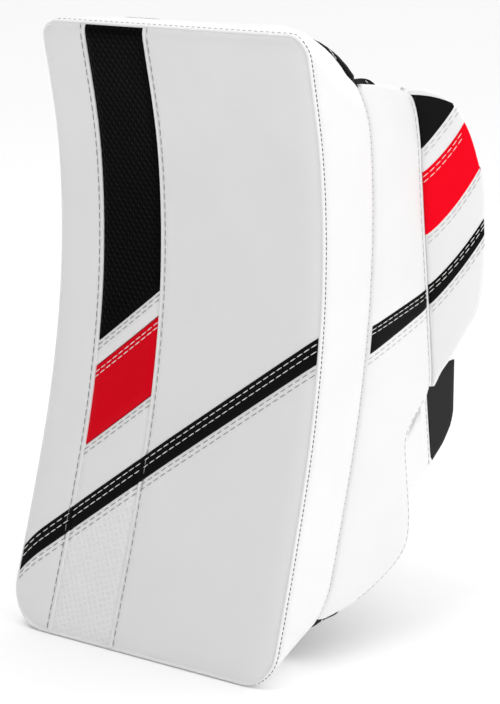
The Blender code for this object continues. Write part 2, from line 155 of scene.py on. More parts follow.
floor_mat, _, floor_shader = finish_of("Pale matt floor", {"Roughness": 0.9})
floor_shader.inputs["Base Color"].default_value = linear("#fbfbfb")
floor_shader.inputs["Emission Color"].default_value = linear("#ffffff")
floor_shader.inputs["Emission Strength"].default_value = FLOOR_GLOW
bpy.ops.mesh.primitive_plane_add(size=FLOOR_SIZE, location=(0, 0, cad_box[0][2] - FLOOR_GAP))
floor = bpy.context.object
floor.name = "floor"
floor.data.materials.append(floor_mat)

# %% Camera
toward = Vector((math.sin(CAMERA_AZIMUTH) * math.cos(CAMERA_ELEVATION),
                 -math.cos(CAMERA_AZIMUTH) * math.cos(CAMERA_ELEVATION), math.sin(CAMERA_ELEVATION)))
rightward = Vector((math.cos(CAMERA_AZIMUTH), math.sin(CAMERA_AZIMUTH), 0.0))
upward = toward.cross(rightward)
camera = bpy.data.objects.new("Camera", bpy.data.cameras.new("Camera"))
camera.data.lens = CAMERA_LENS
camera.location = (CAMERA_TARGET + toward * CAMERA_DISTANCE + rightward * CAMERA_RIGHT
                   - upward * CAMERA_DOWN)
camera.rotation_mode = "QUATERNION"
camera.rotation_quaternion = toward.to_track_quat("Z", "Y")
scene.collection.objects.link(camera)
scene.camera = camera
print("camera", [round(c, 3) for c in camera.location])

# %% [markdown]
# ## Finishes
# Most of a blocker is coated fabric: a woven base with a polyurethane skin, pressed with a fine grain.
# It has a soft, slightly broken shine, so the roughness is about 0.4 and the grain is a small bump. The
# real grain is near 0.5 mm, too fine to show here, so it is drawn at about 1 mm. Two panels have
# a heavier pattern pressed in: small lozenges in the black, and crossing ridges in the lower white.

# %% Coated fabrics
MM = 0.001


def grain(tree, coords, size, depth):
    """A leather-like grain as a bump: rounded cells of the given size, in metres."""
    cells = add(tree, "ShaderNodeTexVoronoi", {"Vector": coords, "Scale": 1 / size, "Randomness": 0.9},
                feature="SMOOTH_F1")
    folds = add(tree, "ShaderNodeTexNoise", {"Vector": coords, "Scale": 0.12 / size, "Detail": 3.0})
    height = add(tree, "ShaderNodeMath", {0: folds.outputs["Fac"], 1: 1.6, 2: cells.outputs["Distance"]},
                 operation="MULTIPLY_ADD")
    return add(tree, "ShaderNodeBump", {"Height": height.outputs[0], "Distance": depth, "Strength": 0.55})


def coated_fabric(name, light, dark, roughness, pattern=None, shine=0.42):
    """Polyurethane-coated fabric: two near tones in soft patches, a fine grain, and a pressed pattern."""
    mat, tree, shader = finish_of(name, {"Roughness": roughness, "IOR": 1.47, "Specular IOR Level": shine})
    coords = add(tree, "ShaderNodeTexCoord").outputs["Object"]
    patches = add(tree, "ShaderNodeTexNoise", {"Vector": coords, "Scale": 22.0, "Detail": 4.0})
    tone = add(tree, "ShaderNodeMix", {"Factor": patches.outputs["Fac"], "A": linear(light),
                                       "B": linear(dark)}, data_type="RGBA")
    wear = add(tree, "ShaderNodeMapRange", {"Value": patches.outputs["Fac"], "From Min": 0.3,
                                            "From Max": 0.7, "To Min": roughness - 0.05,
                                            "To Max": roughness + 0.07})
    tree.links.new(wear.outputs[0], shader.inputs["Roughness"])
    bump = grain(tree, coords, 1.0 * MM, 0.06 * MM)
    colour = tone.outputs["Result"]
    if pattern is not None:
        colour, bump = pattern(tree, coords, colour, bump)
    tree.links.new(colour, shader.inputs["Base Color"])
    tree.links.new(bump.outputs["Normal"], shader.inputs["Normal"])
    return mat


def diagonal_waves(tree, coords, pitch, angle):
    """A sine across the face, in the X-Z plane, of this pitch and turned by this angle."""
    turned = add(tree, "ShaderNodeMapping", {"Vector": coords, "Rotation": (0.0, angle, 0.0)})
    axes = add(tree, "ShaderNodeSeparateXYZ", {"Vector": turned.outputs[0]})
    phase = add(tree, "ShaderNodeMath", {0: axes.outputs["X"], 1: math.tau / pitch}, operation="MULTIPLY")
    return add(tree, "ShaderNodeMath", {0: phase.outputs[0]}, operation="SINE").outputs[0]


def basket_emboss(tree, coords, colour, bump):
    """Two sets of pressed ridges, steep and shallow, 3.6 and 3.3 mm apart, with painted shade in the hollows
    between them.
    """
    one = diagonal_waves(tree, coords, 3.6 * MM, math.radians(27))
    other = diagonal_waves(tree, coords, 3.3 * MM, math.radians(111))
    both = add(tree, "ShaderNodeMath", {0: one, 1: other}, operation="MAXIMUM")
    raised = add(tree, "ShaderNodeBump", {"Height": both.outputs[0], "Distance": 0.24 * MM,
                                          "Strength": 0.8, "Normal": bump.outputs["Normal"]})
    # Painted shade: the colour darkens in the hollows between the ridges.
    shade = add(tree, "ShaderNodeMapRange", {"Value": both.outputs[0], "From Min": -1.0, "From Max": 0.4,
                                             "To Min": 0.955, "To Max": 1.0})
    colour_in_painted_shade = add(tree, "ShaderNodeVectorMath", {0: colour, "Scale": shade.outputs[0]}, operation="SCALE")
    return colour_in_painted_shade.outputs[0], raised


def lozenge_emboss(tree, coords, colour, bump):
    """Small pressed lozenges between fine raised lines."""
    one = diagonal_waves(tree, coords, 3.4 * MM, math.radians(35))
    other = diagonal_waves(tree, coords, 3.4 * MM, math.radians(-35))
    both = add(tree, "ShaderNodeMath", {0: one, 1: other}, operation="MAXIMUM")
    raised = add(tree, "ShaderNodeBump", {"Height": both.outputs[0], "Distance": 0.25 * MM,
                                          "Strength": 0.8, "Normal": bump.outputs["Normal"]})
    return colour, raised


white_fabric = coated_fabric("White coated fabric, fine grain", "#f2f2f2", "#ebebeb", 0.42)
white_basket = coated_fabric("White coated fabric, basket emboss", "#f6f6f6", "#f0f0f0", 0.40, basket_emboss)
black_fabric = coated_fabric("Black coated fabric, fine grain", "#0d0d0d", "#090909", 0.42, shine=0.08)
black_lozenge = coated_fabric("Black coated fabric, lozenge emboss", "#070707", "#040404", 0.40,
                              lozenge_emboss, 0.04)
red_fabric = coated_fabric("Red coated fabric, fine grain", "#e2001c", "#da0019", 0.42, shine=0.07)
# Painted light: the wing has the face's red fabric, drawn lighter because the wing faces the light.
wing_red = coated_fabric("Red coated fabric painted lighter for the light on the wing", "#fb001e", "#f4001b", 0.42, shine=0.05)
print("coated fabrics:", white_fabric.name, "and five more")

# %% [markdown]
# Behind the coated fabric come textiles. Ballistic nylon is a coarse basket of thick threads, dull with a
# faint sheen; its threads are near 0.6 mm and are drawn 1.1 mm apart so that they show. The thumb
# shield's textile is a knitted spacer mesh with rows of small holes. The palm is a synthetic suede,
# whose short nap gives sheen and no shine, and the strap is a ribbed woven tape with hook and loop.

# %% Textiles
def weave(name, light, dark, pitch, depth, roughness, sheen):
    """Crossing threads: two sines whose product rises where a thread lies on top; the colour is darker where
    it lies low, as painted shade between the threads.
    """
    mat, tree, shader = finish_of(name, {"Roughness": roughness, "Sheen Weight": sheen,
                                         "Sheen Roughness": 0.5, "Specular IOR Level": 0.15})
    coords = add(tree, "ShaderNodeTexCoord").outputs["Object"]
    fuzz = add(tree, "ShaderNodeTexNoise", {"Vector": coords, "Scale": 260.0, "Detail": 4.0})
    axes = add(tree, "ShaderNodeSeparateXYZ", {"Vector": coords})
    span = add(tree, "ShaderNodeMath", {0: axes.outputs["X"], 1: axes.outputs["Y"]}, operation="ADD")
    warp = add(tree, "ShaderNodeMath", {0: span.outputs[0], 1: math.tau / pitch}, operation="MULTIPLY")
    weft = add(tree, "ShaderNodeMath", {0: axes.outputs["Z"], 1: math.tau / pitch}, operation="MULTIPLY")
    up = add(tree, "ShaderNodeMath", {0: warp.outputs[0]}, operation="SINE")
    across = add(tree, "ShaderNodeMath", {0: weft.outputs[0]}, operation="SINE")
    over = add(tree, "ShaderNodeMath", {0: up.outputs[0], 1: across.outputs[0]}, operation="MULTIPLY")
    share = add(tree, "ShaderNodeMapRange", {"Value": over.outputs[0], "From Min": -1.0, "From Max": 1.0})
    # Painted shade: the colour follows the weave's height, darker where the threads dip.
    tone = add(tree, "ShaderNodeMix", {"Factor": share.outputs[0], "A": linear(dark),
                                       "B": linear(light)}, data_type="RGBA")
    height = add(tree, "ShaderNodeMath", {0: fuzz.outputs["Fac"], 1: 0.5, 2: over.outputs[0]},
                 operation="MULTIPLY_ADD")
    bump = add(tree, "ShaderNodeBump", {"Height": height.outputs[0], "Distance": depth, "Strength": 0.8})
    tree.links.new(tone.outputs["Result"], shader.inputs["Base Color"])
    tree.links.new(bump.outputs["Normal"], shader.inputs["Normal"])
    return mat


def napped(name, light, dark, size, roughness, sheen):
    """Suede or loop pile: soft noise for the nap, and larger patches painted lighter as the sheen where the
    nap is brushed one way.
    """
    mat, tree, shader = finish_of(name, {"Roughness": roughness, "Sheen Weight": sheen,
                                         "Sheen Roughness": 0.45, "Specular IOR Level": 0.2})
    coords = add(tree, "ShaderNodeTexCoord").outputs["Object"]
    nap = add(tree, "ShaderNodeTexNoise", {"Vector": coords, "Scale": 1 / size, "Detail": 5.0,
                                           "Roughness": 0.7})
    # Painted sheen: the brushed patches are drawn lighter in colour.
    brushed = add(tree, "ShaderNodeTexNoise", {"Vector": coords, "Scale": 45.0, "Detail": 2.0})
    mixed = add(tree, "ShaderNodeMath", {0: nap.outputs["Fac"], 1: 0.5, 2: brushed.outputs["Fac"]},
                operation="MULTIPLY_ADD")
    share = add(tree, "ShaderNodeMapRange", {"Value": mixed.outputs[0], "From Min": 0.5, "From Max": 1.0})
    tone = add(tree, "ShaderNodeMix", {"Factor": share.outputs[0], "A": linear(dark),
                                       "B": linear(light)}, data_type="RGBA")
    bump = add(tree, "ShaderNodeBump", {"Height": nap.outputs["Fac"], "Distance": 0.25 * MM,
                                        "Strength": 0.7})
    tree.links.new(tone.outputs["Result"], shader.inputs["Base Color"])
    tree.links.new(bump.outputs["Normal"], shader.inputs["Normal"])
    return mat


def spacer_mesh(name):
    """Knitted mesh: staggered round holes 2.6 mm apart in a dull black knit, with painted shade inside the
    holes.
    """
    mat, tree, shader = finish_of(name, {"Roughness": 0.8, "Sheen Weight": 0.05, "Specular IOR Level": 0.12})
    coords = add(tree, "ShaderNodeTexCoord").outputs["Object"]
    holes = add(tree, "ShaderNodeTexVoronoi", {"Vector": coords, "Scale": 1 / (2.6 * MM),
                                               "Randomness": 0.12})
    rim = add(tree, "ShaderNodeMapRange", {"Value": holes.outputs["Distance"], "From Min": 0.22,
                                           "From Max": 0.42})
    # Painted shade: the holes are coloured darker than the knit round them.
    tone = add(tree, "ShaderNodeMix", {"Factor": rim.outputs[0], "A": linear("#060606"),
                                       "B": linear("#1d1d1e")}, data_type="RGBA")
    bump = add(tree, "ShaderNodeBump", {"Height": rim.outputs[0], "Distance": 0.5 * MM, "Strength": 0.9})
    tree.links.new(tone.outputs["Result"], shader.inputs["Base Color"])
    tree.links.new(bump.outputs["Normal"], shader.inputs["Normal"])
    return mat


nylon = weave("Black ballistic nylon, basket weave", "#1c1c1d", "#0a0a0b", 2.2 * MM, 0.10 * MM, 0.62, 0.04)
lining = weave("Black brushed nylon lining", "#1b1b1c", "#111112", 1.4 * MM, 0.05 * MM, 0.8, 0.08)
webbing = weave("Black woven strap tape", "#212122", "#0b0b0c", 1.7 * MM, 0.16 * MM, 0.55, 0.03)
stretch = weave("Black stretch knit", "#1a1a1b", "#0e0e0f", 1.2 * MM, 0.06 * MM, 0.75, 0.08)
mesh_textile = spacer_mesh("Black knitted spacer mesh")
suede = napped("Grey synthetic suede", "#a5a6a9", "#838488", 1.1 * MM, 0.92, 0.35)
loop_pile = napped("Black loop pile", "#29292a", "#101011", 0.7 * MM, 0.95, 0.12)
hook_tape = napped("Black hook tape", "#1f1f20", "#0b0b0c", 0.5 * MM, 0.6, 0.04)
print("textiles:", nylon.name, "and seven more")

# %% [markdown]
# The hidden layers still have their own stuff: grey closed-cell foam with fine pores, and a milky
# polyethylene sheet that stiffens the board. Thread is bonded polyester, a little shinier than cloth.
# It is drawn as one small bead for each stitch, and its twist is far too fine to show. On the white
# panels the white thread is painted grey or pale grey, as painted shade in its needle holes.

# %% Foam, sheet and thread
def plain(name, colour, roughness, pore=0.0, depth=0.0, **extra):
    """A plain stuff with pores or a faint moulded texture of this size, in metres."""
    mat, tree, shader = finish_of(name, {"Roughness": roughness, **extra})
    coords = add(tree, "ShaderNodeTexCoord").outputs["Object"]
    pores = add(tree, "ShaderNodeTexNoise", {"Vector": coords, "Scale": 1 / pore, "Detail": 3.0})
    tone = add(tree, "ShaderNodeMix", {"Factor": pores.outputs["Fac"], "A": linear(colour[0]),
                                       "B": linear(colour[1])}, data_type="RGBA")
    bump = add(tree, "ShaderNodeBump", {"Height": pores.outputs["Fac"], "Distance": depth, "Strength": 0.6})
    tree.links.new(tone.outputs["Result"], shader.inputs["Base Color"])
    tree.links.new(bump.outputs["Normal"], shader.inputs["Normal"])
    return mat


foam = plain("Grey closed-cell foam", ("#6b6c6f", "#7b7c7f"), 0.9, 1.2 * MM, 0.2 * MM)
polyethylene = plain("Milky polyethylene sheet", ("#d9dad6", "#e2e3df"), 0.35, 6.0 * MM, 0.05 * MM, IOR=1.51)
white_thread = plain("White bonded thread", ("#f4f4f2", "#e6e6e4"), 0.45, 0.6 * MM, 0.05 * MM)
# Painted shade: the next two are white thread coloured grey and pale grey for the shade in its needle holes
# on white panels.
shaded_white_thread = plain("White bonded thread painted grey as shade", ("#858688", "#979899"), 0.45, 0.6 * MM, 0.05 * MM)
lightly_shaded_white_thread = plain("White bonded thread painted pale grey as shade", ("#b4b5b6", "#c2c3c4"), 0.45, 0.6 * MM, 0.05 * MM)
dark_thread = plain("Charcoal bonded thread", ("#3a3b3e", "#4a4b4e"), 0.5, 0.6 * MM, 0.05 * MM)
print("finishes:", len(bpy.data.materials))

# %% [markdown]
# ## The board's shape
# The face is a hollow curve from bottom to top, and the board narrows a little upwards. Most of these
# driving sizes are the frame's own, so the sewn pieces land where their solids are. The rear corners on
# the sidewall's side are cut a little differently from the frame's, and the top edge rolls back. A point of
# the board is named by how far across it lies, its height, and how deep it is behind the face.

# %% Shape of the board
BOARD_BOTTOM, BOARD_TOP, HALF_WIDTH = -0.205, 0.171, 0.100
LEFT_SCALE, RIGHT_SCALE = (0.995, 0.945), (1.020, 0.990)
FACE_PROFILE = (-0.1414, -0.1166, -0.0961, -0.0856, -0.0875, -0.1029)
DEPTH_BOTTOM, DEPTH_TOP, TOP_ROLL = 0.047, 0.055, 0.008
FRONT_RADII = {"left_low": 0.028, "right_low": 0.020, "right_top": 0.014, "left_top": 0.012}
REAR_RADII = {"left_low": 0.032, "right_low": 0.048, "right_top": 0.062, "left_top": 0.026}
MIDDLE_Z, HALF_HEIGHT = (BOARD_BOTTOM + BOARD_TOP) / 2, (BOARD_TOP - BOARD_BOTTOM) / 2


def mix(a, b, t):
    return a + (b - a) * t


def rise(z):
    return (z - BOARD_BOTTOM) / (BOARD_TOP - BOARD_BOTTOM)


def smooth_value(values, t):
    """Catmull-Rom curve through evenly spaced values, read at t from 0 to 1."""
    last = len(values) - 1
    place = min(max(t, 0.0), 1.0) * last
    i = min(int(place), last - 1)
    f = place - i
    before = values[i - 1] if i > 0 else 2 * values[0] - values[1]
    after = values[i + 2] if i + 2 <= last else 2 * values[last] - values[last - 1]
    a, b = values[i], values[i + 1]
    bend = (2 * before - 5 * a + 4 * b - after) * f * f
    return 0.5 * (2 * a + (b - before) * f + bend + (3 * a - 3 * b + after - before) * f ** 3)


def smooth_table(table, at):
    """A smooth curve through a table of (place, value), read at one place."""
    at = min(max(at, table[0][0]), table[-1][0])
    k = max(i for i in range(len(table) - 1) if table[i][0] <= at)
    (p0, a), (p1, b) = table[k], table[k + 1]
    (pb, before), (pa, after) = table[max(k - 1, 0)], table[min(k + 2, len(table) - 1)]
    run, f = p1 - p0, (at - p0) / (p1 - p0)
    slope0, slope1 = (b - before) / (p1 - pb) * run, (after - a) / (pa - p0) * run
    return (a * (2 * f ** 3 - 3 * f ** 2 + 1) + slope0 * (f ** 3 - 2 * f ** 2 + f)
            + b * (3 * f ** 2 - 2 * f ** 3) + slope1 * (f ** 3 - f ** 2))


def drop(away, radius):
    """How far a rounded edge of this radius has fallen, away metres from the border."""
    away = min(max(away, 0.0), radius)
    return radius - math.sqrt(max(radius ** 2 - (radius - away) ** 2, 0.0))


def top_roll(z):
    """The face rolls back over its top edge."""
    return drop(BOARD_TOP - z, TOP_ROLL) * 0.5


def face_y(z):
    return smooth_value(FACE_PROFILE, rise(z)) + top_roll(z)


def depth(z):
    return mix(DEPTH_BOTTOM, DEPTH_TOP, rise(z)) - top_roll(z)


def rim_y(z):
    return face_y(z) + depth(z)


def board_x(x, z):
    low, high = LEFT_SCALE if x < 0 else RIGHT_SCALE
    return x * mix(low, high, rise(z))


def on_board(x, z, deep):
    return Vector((board_x(x, z), face_y(z) + deep, z))


def rim_distance(x, z, radii, inset=0.0):
    """How far inside the board's rounded outline a point lies."""
    corner = ("left" if x < 0 else "right") + ("_low" if z < MIDDLE_Z else "_top")
    radius, edge = radii[corner] - inset, HALF_WIDTH - inset
    across = abs(x) - (edge - radius)
    up = abs(z - MIDDLE_Z) - (HALF_HEIGHT - inset - radius)
    if across > 0 and up > 0:
        return radius - math.hypot(across, up)
    return radius - max(across, up)


def corner_cut(radius, run):
    """How far a rounded corner cuts in, run metres from the side it starts at."""
    if run >= radius:
        return 0.0
    return radius - math.sqrt(max(radius ** 2 - (radius - run) ** 2, 0.0))


def rim_limits(radii, inset):
    """Two functions of x: the lowest and the highest point of the outline there."""
    edge = HALF_WIDTH - inset

    def low(x):
        return BOARD_BOTTOM + inset + max(corner_cut(radii["left_low"] - inset, x + edge),
                                          corner_cut(radii["right_low"] - inset, edge - x))

    def high(x):
        return BOARD_TOP - inset - max(corner_cut(radii["left_top"] - inset, x + edge),
                                       corner_cut(radii["right_top"] - inset, edge - x))
    return low, high


print("board", round(2 * HALF_WIDTH * 1000), "x", round((BOARD_TOP - BOARD_BOTTOM) * 1000), "mm")

# %% [markdown]
# ## Sewn panels
# A panel is cut from sheet, sewn along its border and lies over foam, so it sinks into its seams and
# swells within a few millimetres of them. Sculpting that by hand would be slow and uneven. Instead every
# panel is a fine grid, closer together at its borders, and each point rises by a rule that only
# needs its distance to the nearest seam. Two such grids, front and back, close into a thin solid.

# %% Grids, panels and surfaces
def spread(steps):
    """0 to 1 in steps that are closest together at both ends."""
    return [(1 - math.cos(math.pi * i / steps)) / 2 for i in range(steps + 1)]


def even(steps):
    return [i / steps for i in range(steps + 1)]


def swell(away, height, width):
    """How far padded fabric stands up at this distance from its seam."""
    return height * (1 - (1 - min(max(away, 0.0) / width, 1.0)) ** 2.4)


def smooth_piece(name, bm, mat, sharp=50):
    """Turns the working mesh into a smooth-shaded object with one finish."""
    mesh = bpy.data.meshes.new(name)
    bm.to_mesh(mesh)
    bm.free()
    mesh.materials.append(mat)
    mesh.shade_smooth()
    mesh.set_sharp_from_angle(angle=math.radians(sharp))
    obj = bpy.data.objects.new(name, mesh)
    scene.collection.objects.link(obj)
    return obj


def lay_quads(bm, grid, closed=False):
    """Vertices and faces for a grid of points; closed joins the last column to the first."""
    verts = [[bm.verts.new(p) for p in column] for column in grid]
    columns = len(verts)
    for i in range(columns if closed else columns - 1):
        nxt = verts[(i + 1) % columns]
        for j in range(len(verts[i]) - 1):
            bm.faces.new((verts[i][j], nxt[j], nxt[j + 1], verts[i][j + 1]))
    return verts


def close_borders(bm, front, back):
    """Joins the borders of two equal grids of vertices."""
    columns, rows = len(front), len(front[0])
    for i in range(columns - 1):
        for j in (0, rows - 1):
            bm.faces.new((front[i][j], front[i + 1][j], back[i + 1][j], back[i][j]))
    for j in range(rows - 1):
        for i in (0, columns - 1):
            bm.faces.new((front[i][j], front[i][j + 1], back[i][j + 1], back[i][j]))


def solid(name, front, back, mat, sharp=50):
    bm = bmesh.new()
    close_borders(bm, lay_quads(bm, front), lay_quads(bm, back))
    bmesh.ops.recalc_face_normals(bm, faces=bm.faces)
    return smooth_piece(name, bm, mat, sharp)


def stand_in(obj, body, slot, *nodes):
    """The piece moves with a body and stands for CAD nodes. The slot argument is not used."""
    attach(obj, body)
    if nodes:
        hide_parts(*nodes)
    return obj


def surface_of(*objects):
    """One tree of the outer surfaces of several meshes, to lay things on."""
    points, faces = [], []
    for obj in objects:
        start = len(points)
        points += [v.co.copy() for v in obj.data.vertices]
        faces += [[start + i for i in p.vertices] for p in obj.data.polygons]
    return BVHTree.FromPolygons(points, faces)


# %% [markdown]
# ## The face
# The face has a plain panel either side of a pieced inlay: black, a white band, red and an embossed white
# panel, with a long black stripe rising across them all. Each is its own cut piece. They could be
# one mesh with painted bands, but real seams catch the light, so every band is a panel that
# swells between its own seams.

# %% Bands and panels of the face
INLAY_LEFT, INLAY_RIGHT = -0.0655, -0.0168
BAND_SLOPE, INLAY_BLACK_LOW, INLAY_RED_HIGH, INLAY_RED_LOW = 0.80, 0.0244, 0.0086, -0.0399
STRIPE_SLOPE, STRIPE_HIGH, STRIPE_LOW, STRIPE_BOW = 0.772, -0.0775, -0.0931, 0.18
SKIN, SEAM, RIM_INSET = 0.0020, 0.0003, 0.0016
STRIPE_DROOP, DROOP_START = 14, -0.084
FACE_SWELL, SWELL_WIDTH, RIM_ROLL = 1.5 * MM, 7.0 * MM, 0.6


def band(height, slope=BAND_SLOPE):
    """A straight edge that rises across the face, as a function of x."""
    return lambda x: height + slope * x


def stripe_line(height):
    """The stripe's edge: a gentle bow that falls faster near the board's outer edge."""
    return lambda x: (height + STRIPE_SLOPE * x - STRIPE_BOW * (x + 0.02) ** 2
                      - STRIPE_DROOP * max(DROOP_START - x, 0.0) ** 2)


def above(line, slope=BAND_SLOPE):
    shorten = 1 / math.hypot(1, slope)
    return lambda x, z: (z - line(x)) * shorten


def below(line, slope=BAND_SLOPE):
    shorten = 1 / math.hypot(1, slope)
    return lambda x, z: (line(x) - z) * shorten


def inside_rim(x, z):
    """Distance from the rim, shortened so that the face rolls more slowly there than at its seams."""
    return RIM_ROLL * rim_distance(x, z, FRONT_RADII, RIM_INSET)


def face_panel(name, mat, start, end, low, high, borders, across, up, rise_by=FACE_SWELL, width=SWELL_WIDTH):
    """One cut piece of the face between two x, swelling away from its borders."""
    front, back = [], []
    for s in spread(across):
        x = mix(start, end, s)
        heights = [mix(low(x), high(x), t) for t in spread(up)]
        front.append([on_board(x, z, -swell(min(f(x, z) for f in borders), rise_by, width))
                      for z in heights])
        back.append([on_board(x, z, SKIN) for z in heights])
    return solid(name, front, back, mat)


def right_of(edge):
    return lambda x, z: x - edge


def left_of(edge):
    return lambda x, z: edge - x


rim_low, rim_high = rim_limits(FRONT_RADII, RIM_INSET)
face_edge = HALF_WIDTH - RIM_INSET
left, right = INLAY_LEFT + SEAM, INLAY_RIGHT - SEAM
between = [right_of(left), left_of(right)]
left_panel = face_panel("face_left_panel_cover", white_fabric, -face_edge, INLAY_LEFT - SEAM,
                        rim_low, rim_high, [inside_rim, left_of(INLAY_LEFT - SEAM)], 20, 130)
right_panel = face_panel("face_right_panel_cover", white_fabric, INLAY_RIGHT + SEAM, face_edge,
                         rim_low, rim_high, [inside_rim, right_of(INLAY_RIGHT + SEAM)], 64, 130)
inlay_black = face_panel("inlay_black_cover", black_lozenge, left, right, band(INLAY_BLACK_LOW + 2 * SEAM),
                         rim_high, between + [inside_rim, above(band(INLAY_BLACK_LOW))], 28, 56)
inlay_band = face_panel("inlay_white_band_cover", white_fabric, left, right, band(INLAY_RED_HIGH + 2 * SEAM),
                        band(INLAY_BLACK_LOW),
                        between + [above(band(INLAY_RED_HIGH)), below(band(INLAY_BLACK_LOW))], 28, 14)
inlay_red = face_panel("inlay_red_cover", red_fabric, left, right, band(INLAY_RED_LOW + 2 * SEAM),
                       band(INLAY_RED_HIGH),
                       between + [above(band(INLAY_RED_LOW)), below(band(INLAY_RED_HIGH))], 28, 22)
under_stripe = stripe_line((STRIPE_HIGH + STRIPE_LOW) / 2)
inlay_plain = face_panel("inlay_white_panel_cover", white_fabric, left, right, under_stripe,
                         band(INLAY_RED_LOW), between + [below(band(INLAY_RED_LOW))], 28, 24)
inlay_low = face_panel("inlay_embossed_cover", white_basket, left, right, rim_low, under_stripe,
                       between + [inside_rim], 28, 40)
for piece, slot_name in ((left_panel, "white_leather"), (right_panel, "white_leather"),
                         (inlay_black, "black_leather"), (inlay_band, "white_leather"),
                         (inlay_red, "red_leather"), (inlay_plain, "white_leather")):
    stand_in(piece, "blocker", slot_name, piece.name.removesuffix("_cover"))
stand_in(inlay_low, "blocker", "white_leather")
print("face panels:", len(left_panel.data.polygons), "and", len(right_panel.data.polygons), "faces")

# %% [markdown]
# The stripe is sewn on over the panels. It follows whatever lies under it, so each of its points is
# dropped straight back on to the finished panels by a ray, and a second grid a little behind closes it.
# The folded white edging down each side of the inlay is a low half-round strip laid on the board's face.

# %% Stripe and edging laid on the face
FRONT_OF_ALL = -0.30


def lay_on_face(x, z, lift, surface):
    """The point of the face at nominal x and height z, lifted off the panels."""
    place = board_x(x, z)
    hit = surface.ray_cast(Vector((place, FRONT_OF_ALL, z)), Vector((0, 1, 0)))[0]
    y = hit.y if hit is not None else face_y(z)
    return Vector((place, min(y, face_y(z) + 0.5 * MM) - lift, z))


def face_strip(name, mat, surface, start, end, low, high, across, up, thick):
    """A thin piece laid over the panels between two x and two lines."""
    front, back = [], []
    for s in spread(across):
        x = mix(start, end, s)
        front.append([])
        back.append([])
        for t in spread(up):
            z = mix(low(x), high(x), t)
            away = min(t, 1 - t) * (high(x) - low(x))
            front[-1].append(lay_on_face(x, z, 0.15 * MM + swell(away, thick, 1.2 * MM), surface))
            back[-1].append(lay_on_face(x, z, -0.25 * MM, surface))
    return solid(name, front, back, mat)


def edging(name, x):
    """A folded edge of white fabric over the seam at nominal x, half round in section."""
    half = 1.25 * MM
    low, high = rim_low(x), rim_high(x)
    front, back = [], []
    for s in even(8):
        off = mix(-half, half, s)
        crown = 1.1 * MM * math.sqrt(max(1 - (off / half) ** 2, 0.0))
        heights = [mix(low, high, t) for t in even(120)]
        front.append([on_board(x + off, z, -0.45 * MM - crown) for z in heights])
        back.append([on_board(x + off, z, 0.6 * MM) for z in heights])
    return solid(name, front, back, white_fabric)


edgings = [edging("inlay_edging_left", INLAY_LEFT), edging("inlay_edging_right", INLAY_RIGHT)]
for piece in edgings:
    stand_in(piece, "blocker", "white_leather")
face_pieces = [left_panel, right_panel, inlay_black, inlay_band, inlay_red, inlay_plain, inlay_low, *edgings]
stripe = face_strip("face_stripe_cover", black_fabric, surface_of(*face_pieces), -face_edge, face_edge,
                    stripe_line(STRIPE_LOW), stripe_line(STRIPE_HIGH), 190, 14, 0.55 * MM)
stand_in(stripe, "blocker", "black_leather", "face_stripe")
print("stripe", len(stripe.data.polygons), "faces")

# %% [markdown]
# ## Rim, gusset and binding
# Round the board runs a wall of fabric, the gusset, sewn to the face under a soft round welt and at
# the back under a black binding. All are rings of one outline, whose corners change radius from
# front to back. A ring is a short cross-section swept round that outline.

# %% Rings round the board
SIDEWALL_LOW, SIDEWALL_HIGH = -0.179, 0.1375


def outline(radii, corner_steps=14, side_steps=70, end_steps=36):
    """Nominal (x, z) and outward direction round the board, anticlockwise from its lower left corner."""
    corners = (("left_low", -1, -1, 180), ("right_low", 1, -1, 270),
               ("right_top", 1, 1, 0), ("left_top", -1, 1, 90))
    points = []
    for k, (corner, across, up, start) in enumerate(corners):
        radius = radii[corner]
        centre = (across * (HALF_WIDTH - radius), MIDDLE_Z + up * (HALF_HEIGHT - radius))
        for i in range(corner_steps + 1):
            turn = math.radians(start + 90 * i / corner_steps)
            out = (math.cos(turn), math.sin(turn))
            points.append((centre[0] + radius * out[0], centre[1] + radius * out[1], out))
        following, across2, up2, _ = corners[(k + 1) % 4]
        radius2 = radii[following]
        ahead = (across2 * (HALF_WIDTH - radius2), MIDDLE_Z + up2 * (HALF_HEIGHT - radius2))
        end = (ahead[0] + radius2 * out[0], ahead[1] + radius2 * out[1])
        steps = end_steps if k % 2 == 0 else side_steps
        here = points[-1]
        for i in range(1, steps):
            points.append((mix(here[0], end[0], i / steps), mix(here[1], end[1], i / steps), out))
    return points


FRONT_LINE, REAR_LINE = outline(FRONT_RADII), outline(REAR_RADII)


def top_slope(x):
    """The rear edge lies a little lower than the front one across most of the top."""
    return 2.0 * MM * min(max((0.06 - x) / 0.05, 0.0), 1.0)


def corner_share(i):
    """1 in the middle of the crescent at the big upper corner, 0 away from it."""
    across, up = REAR_LINE[i][2]
    turn = math.degrees(math.atan2(up, across))
    return math.sin(math.pi * turn / 66) ** 0.8 if 0 < turn < 66 and up > 0 else 0.0


def ring_point(i, share, out_by, deep):
    """A point of the board's side wall: share runs from the front outline to the rear one."""
    (x0, z0, n0), (x1, z1, n1) = FRONT_LINE[i], REAR_LINE[i]
    z1 -= top_slope(x1) * max(n1[1], 0.0) ** 2
    out = (mix(n0[0], n1[0], share), mix(n0[1], n1[1], share))
    x, z = mix(x0, x1, share) + out[0] * out_by, mix(z0, z1, share) + out[1] * out_by
    return on_board(x, z, deep(z))


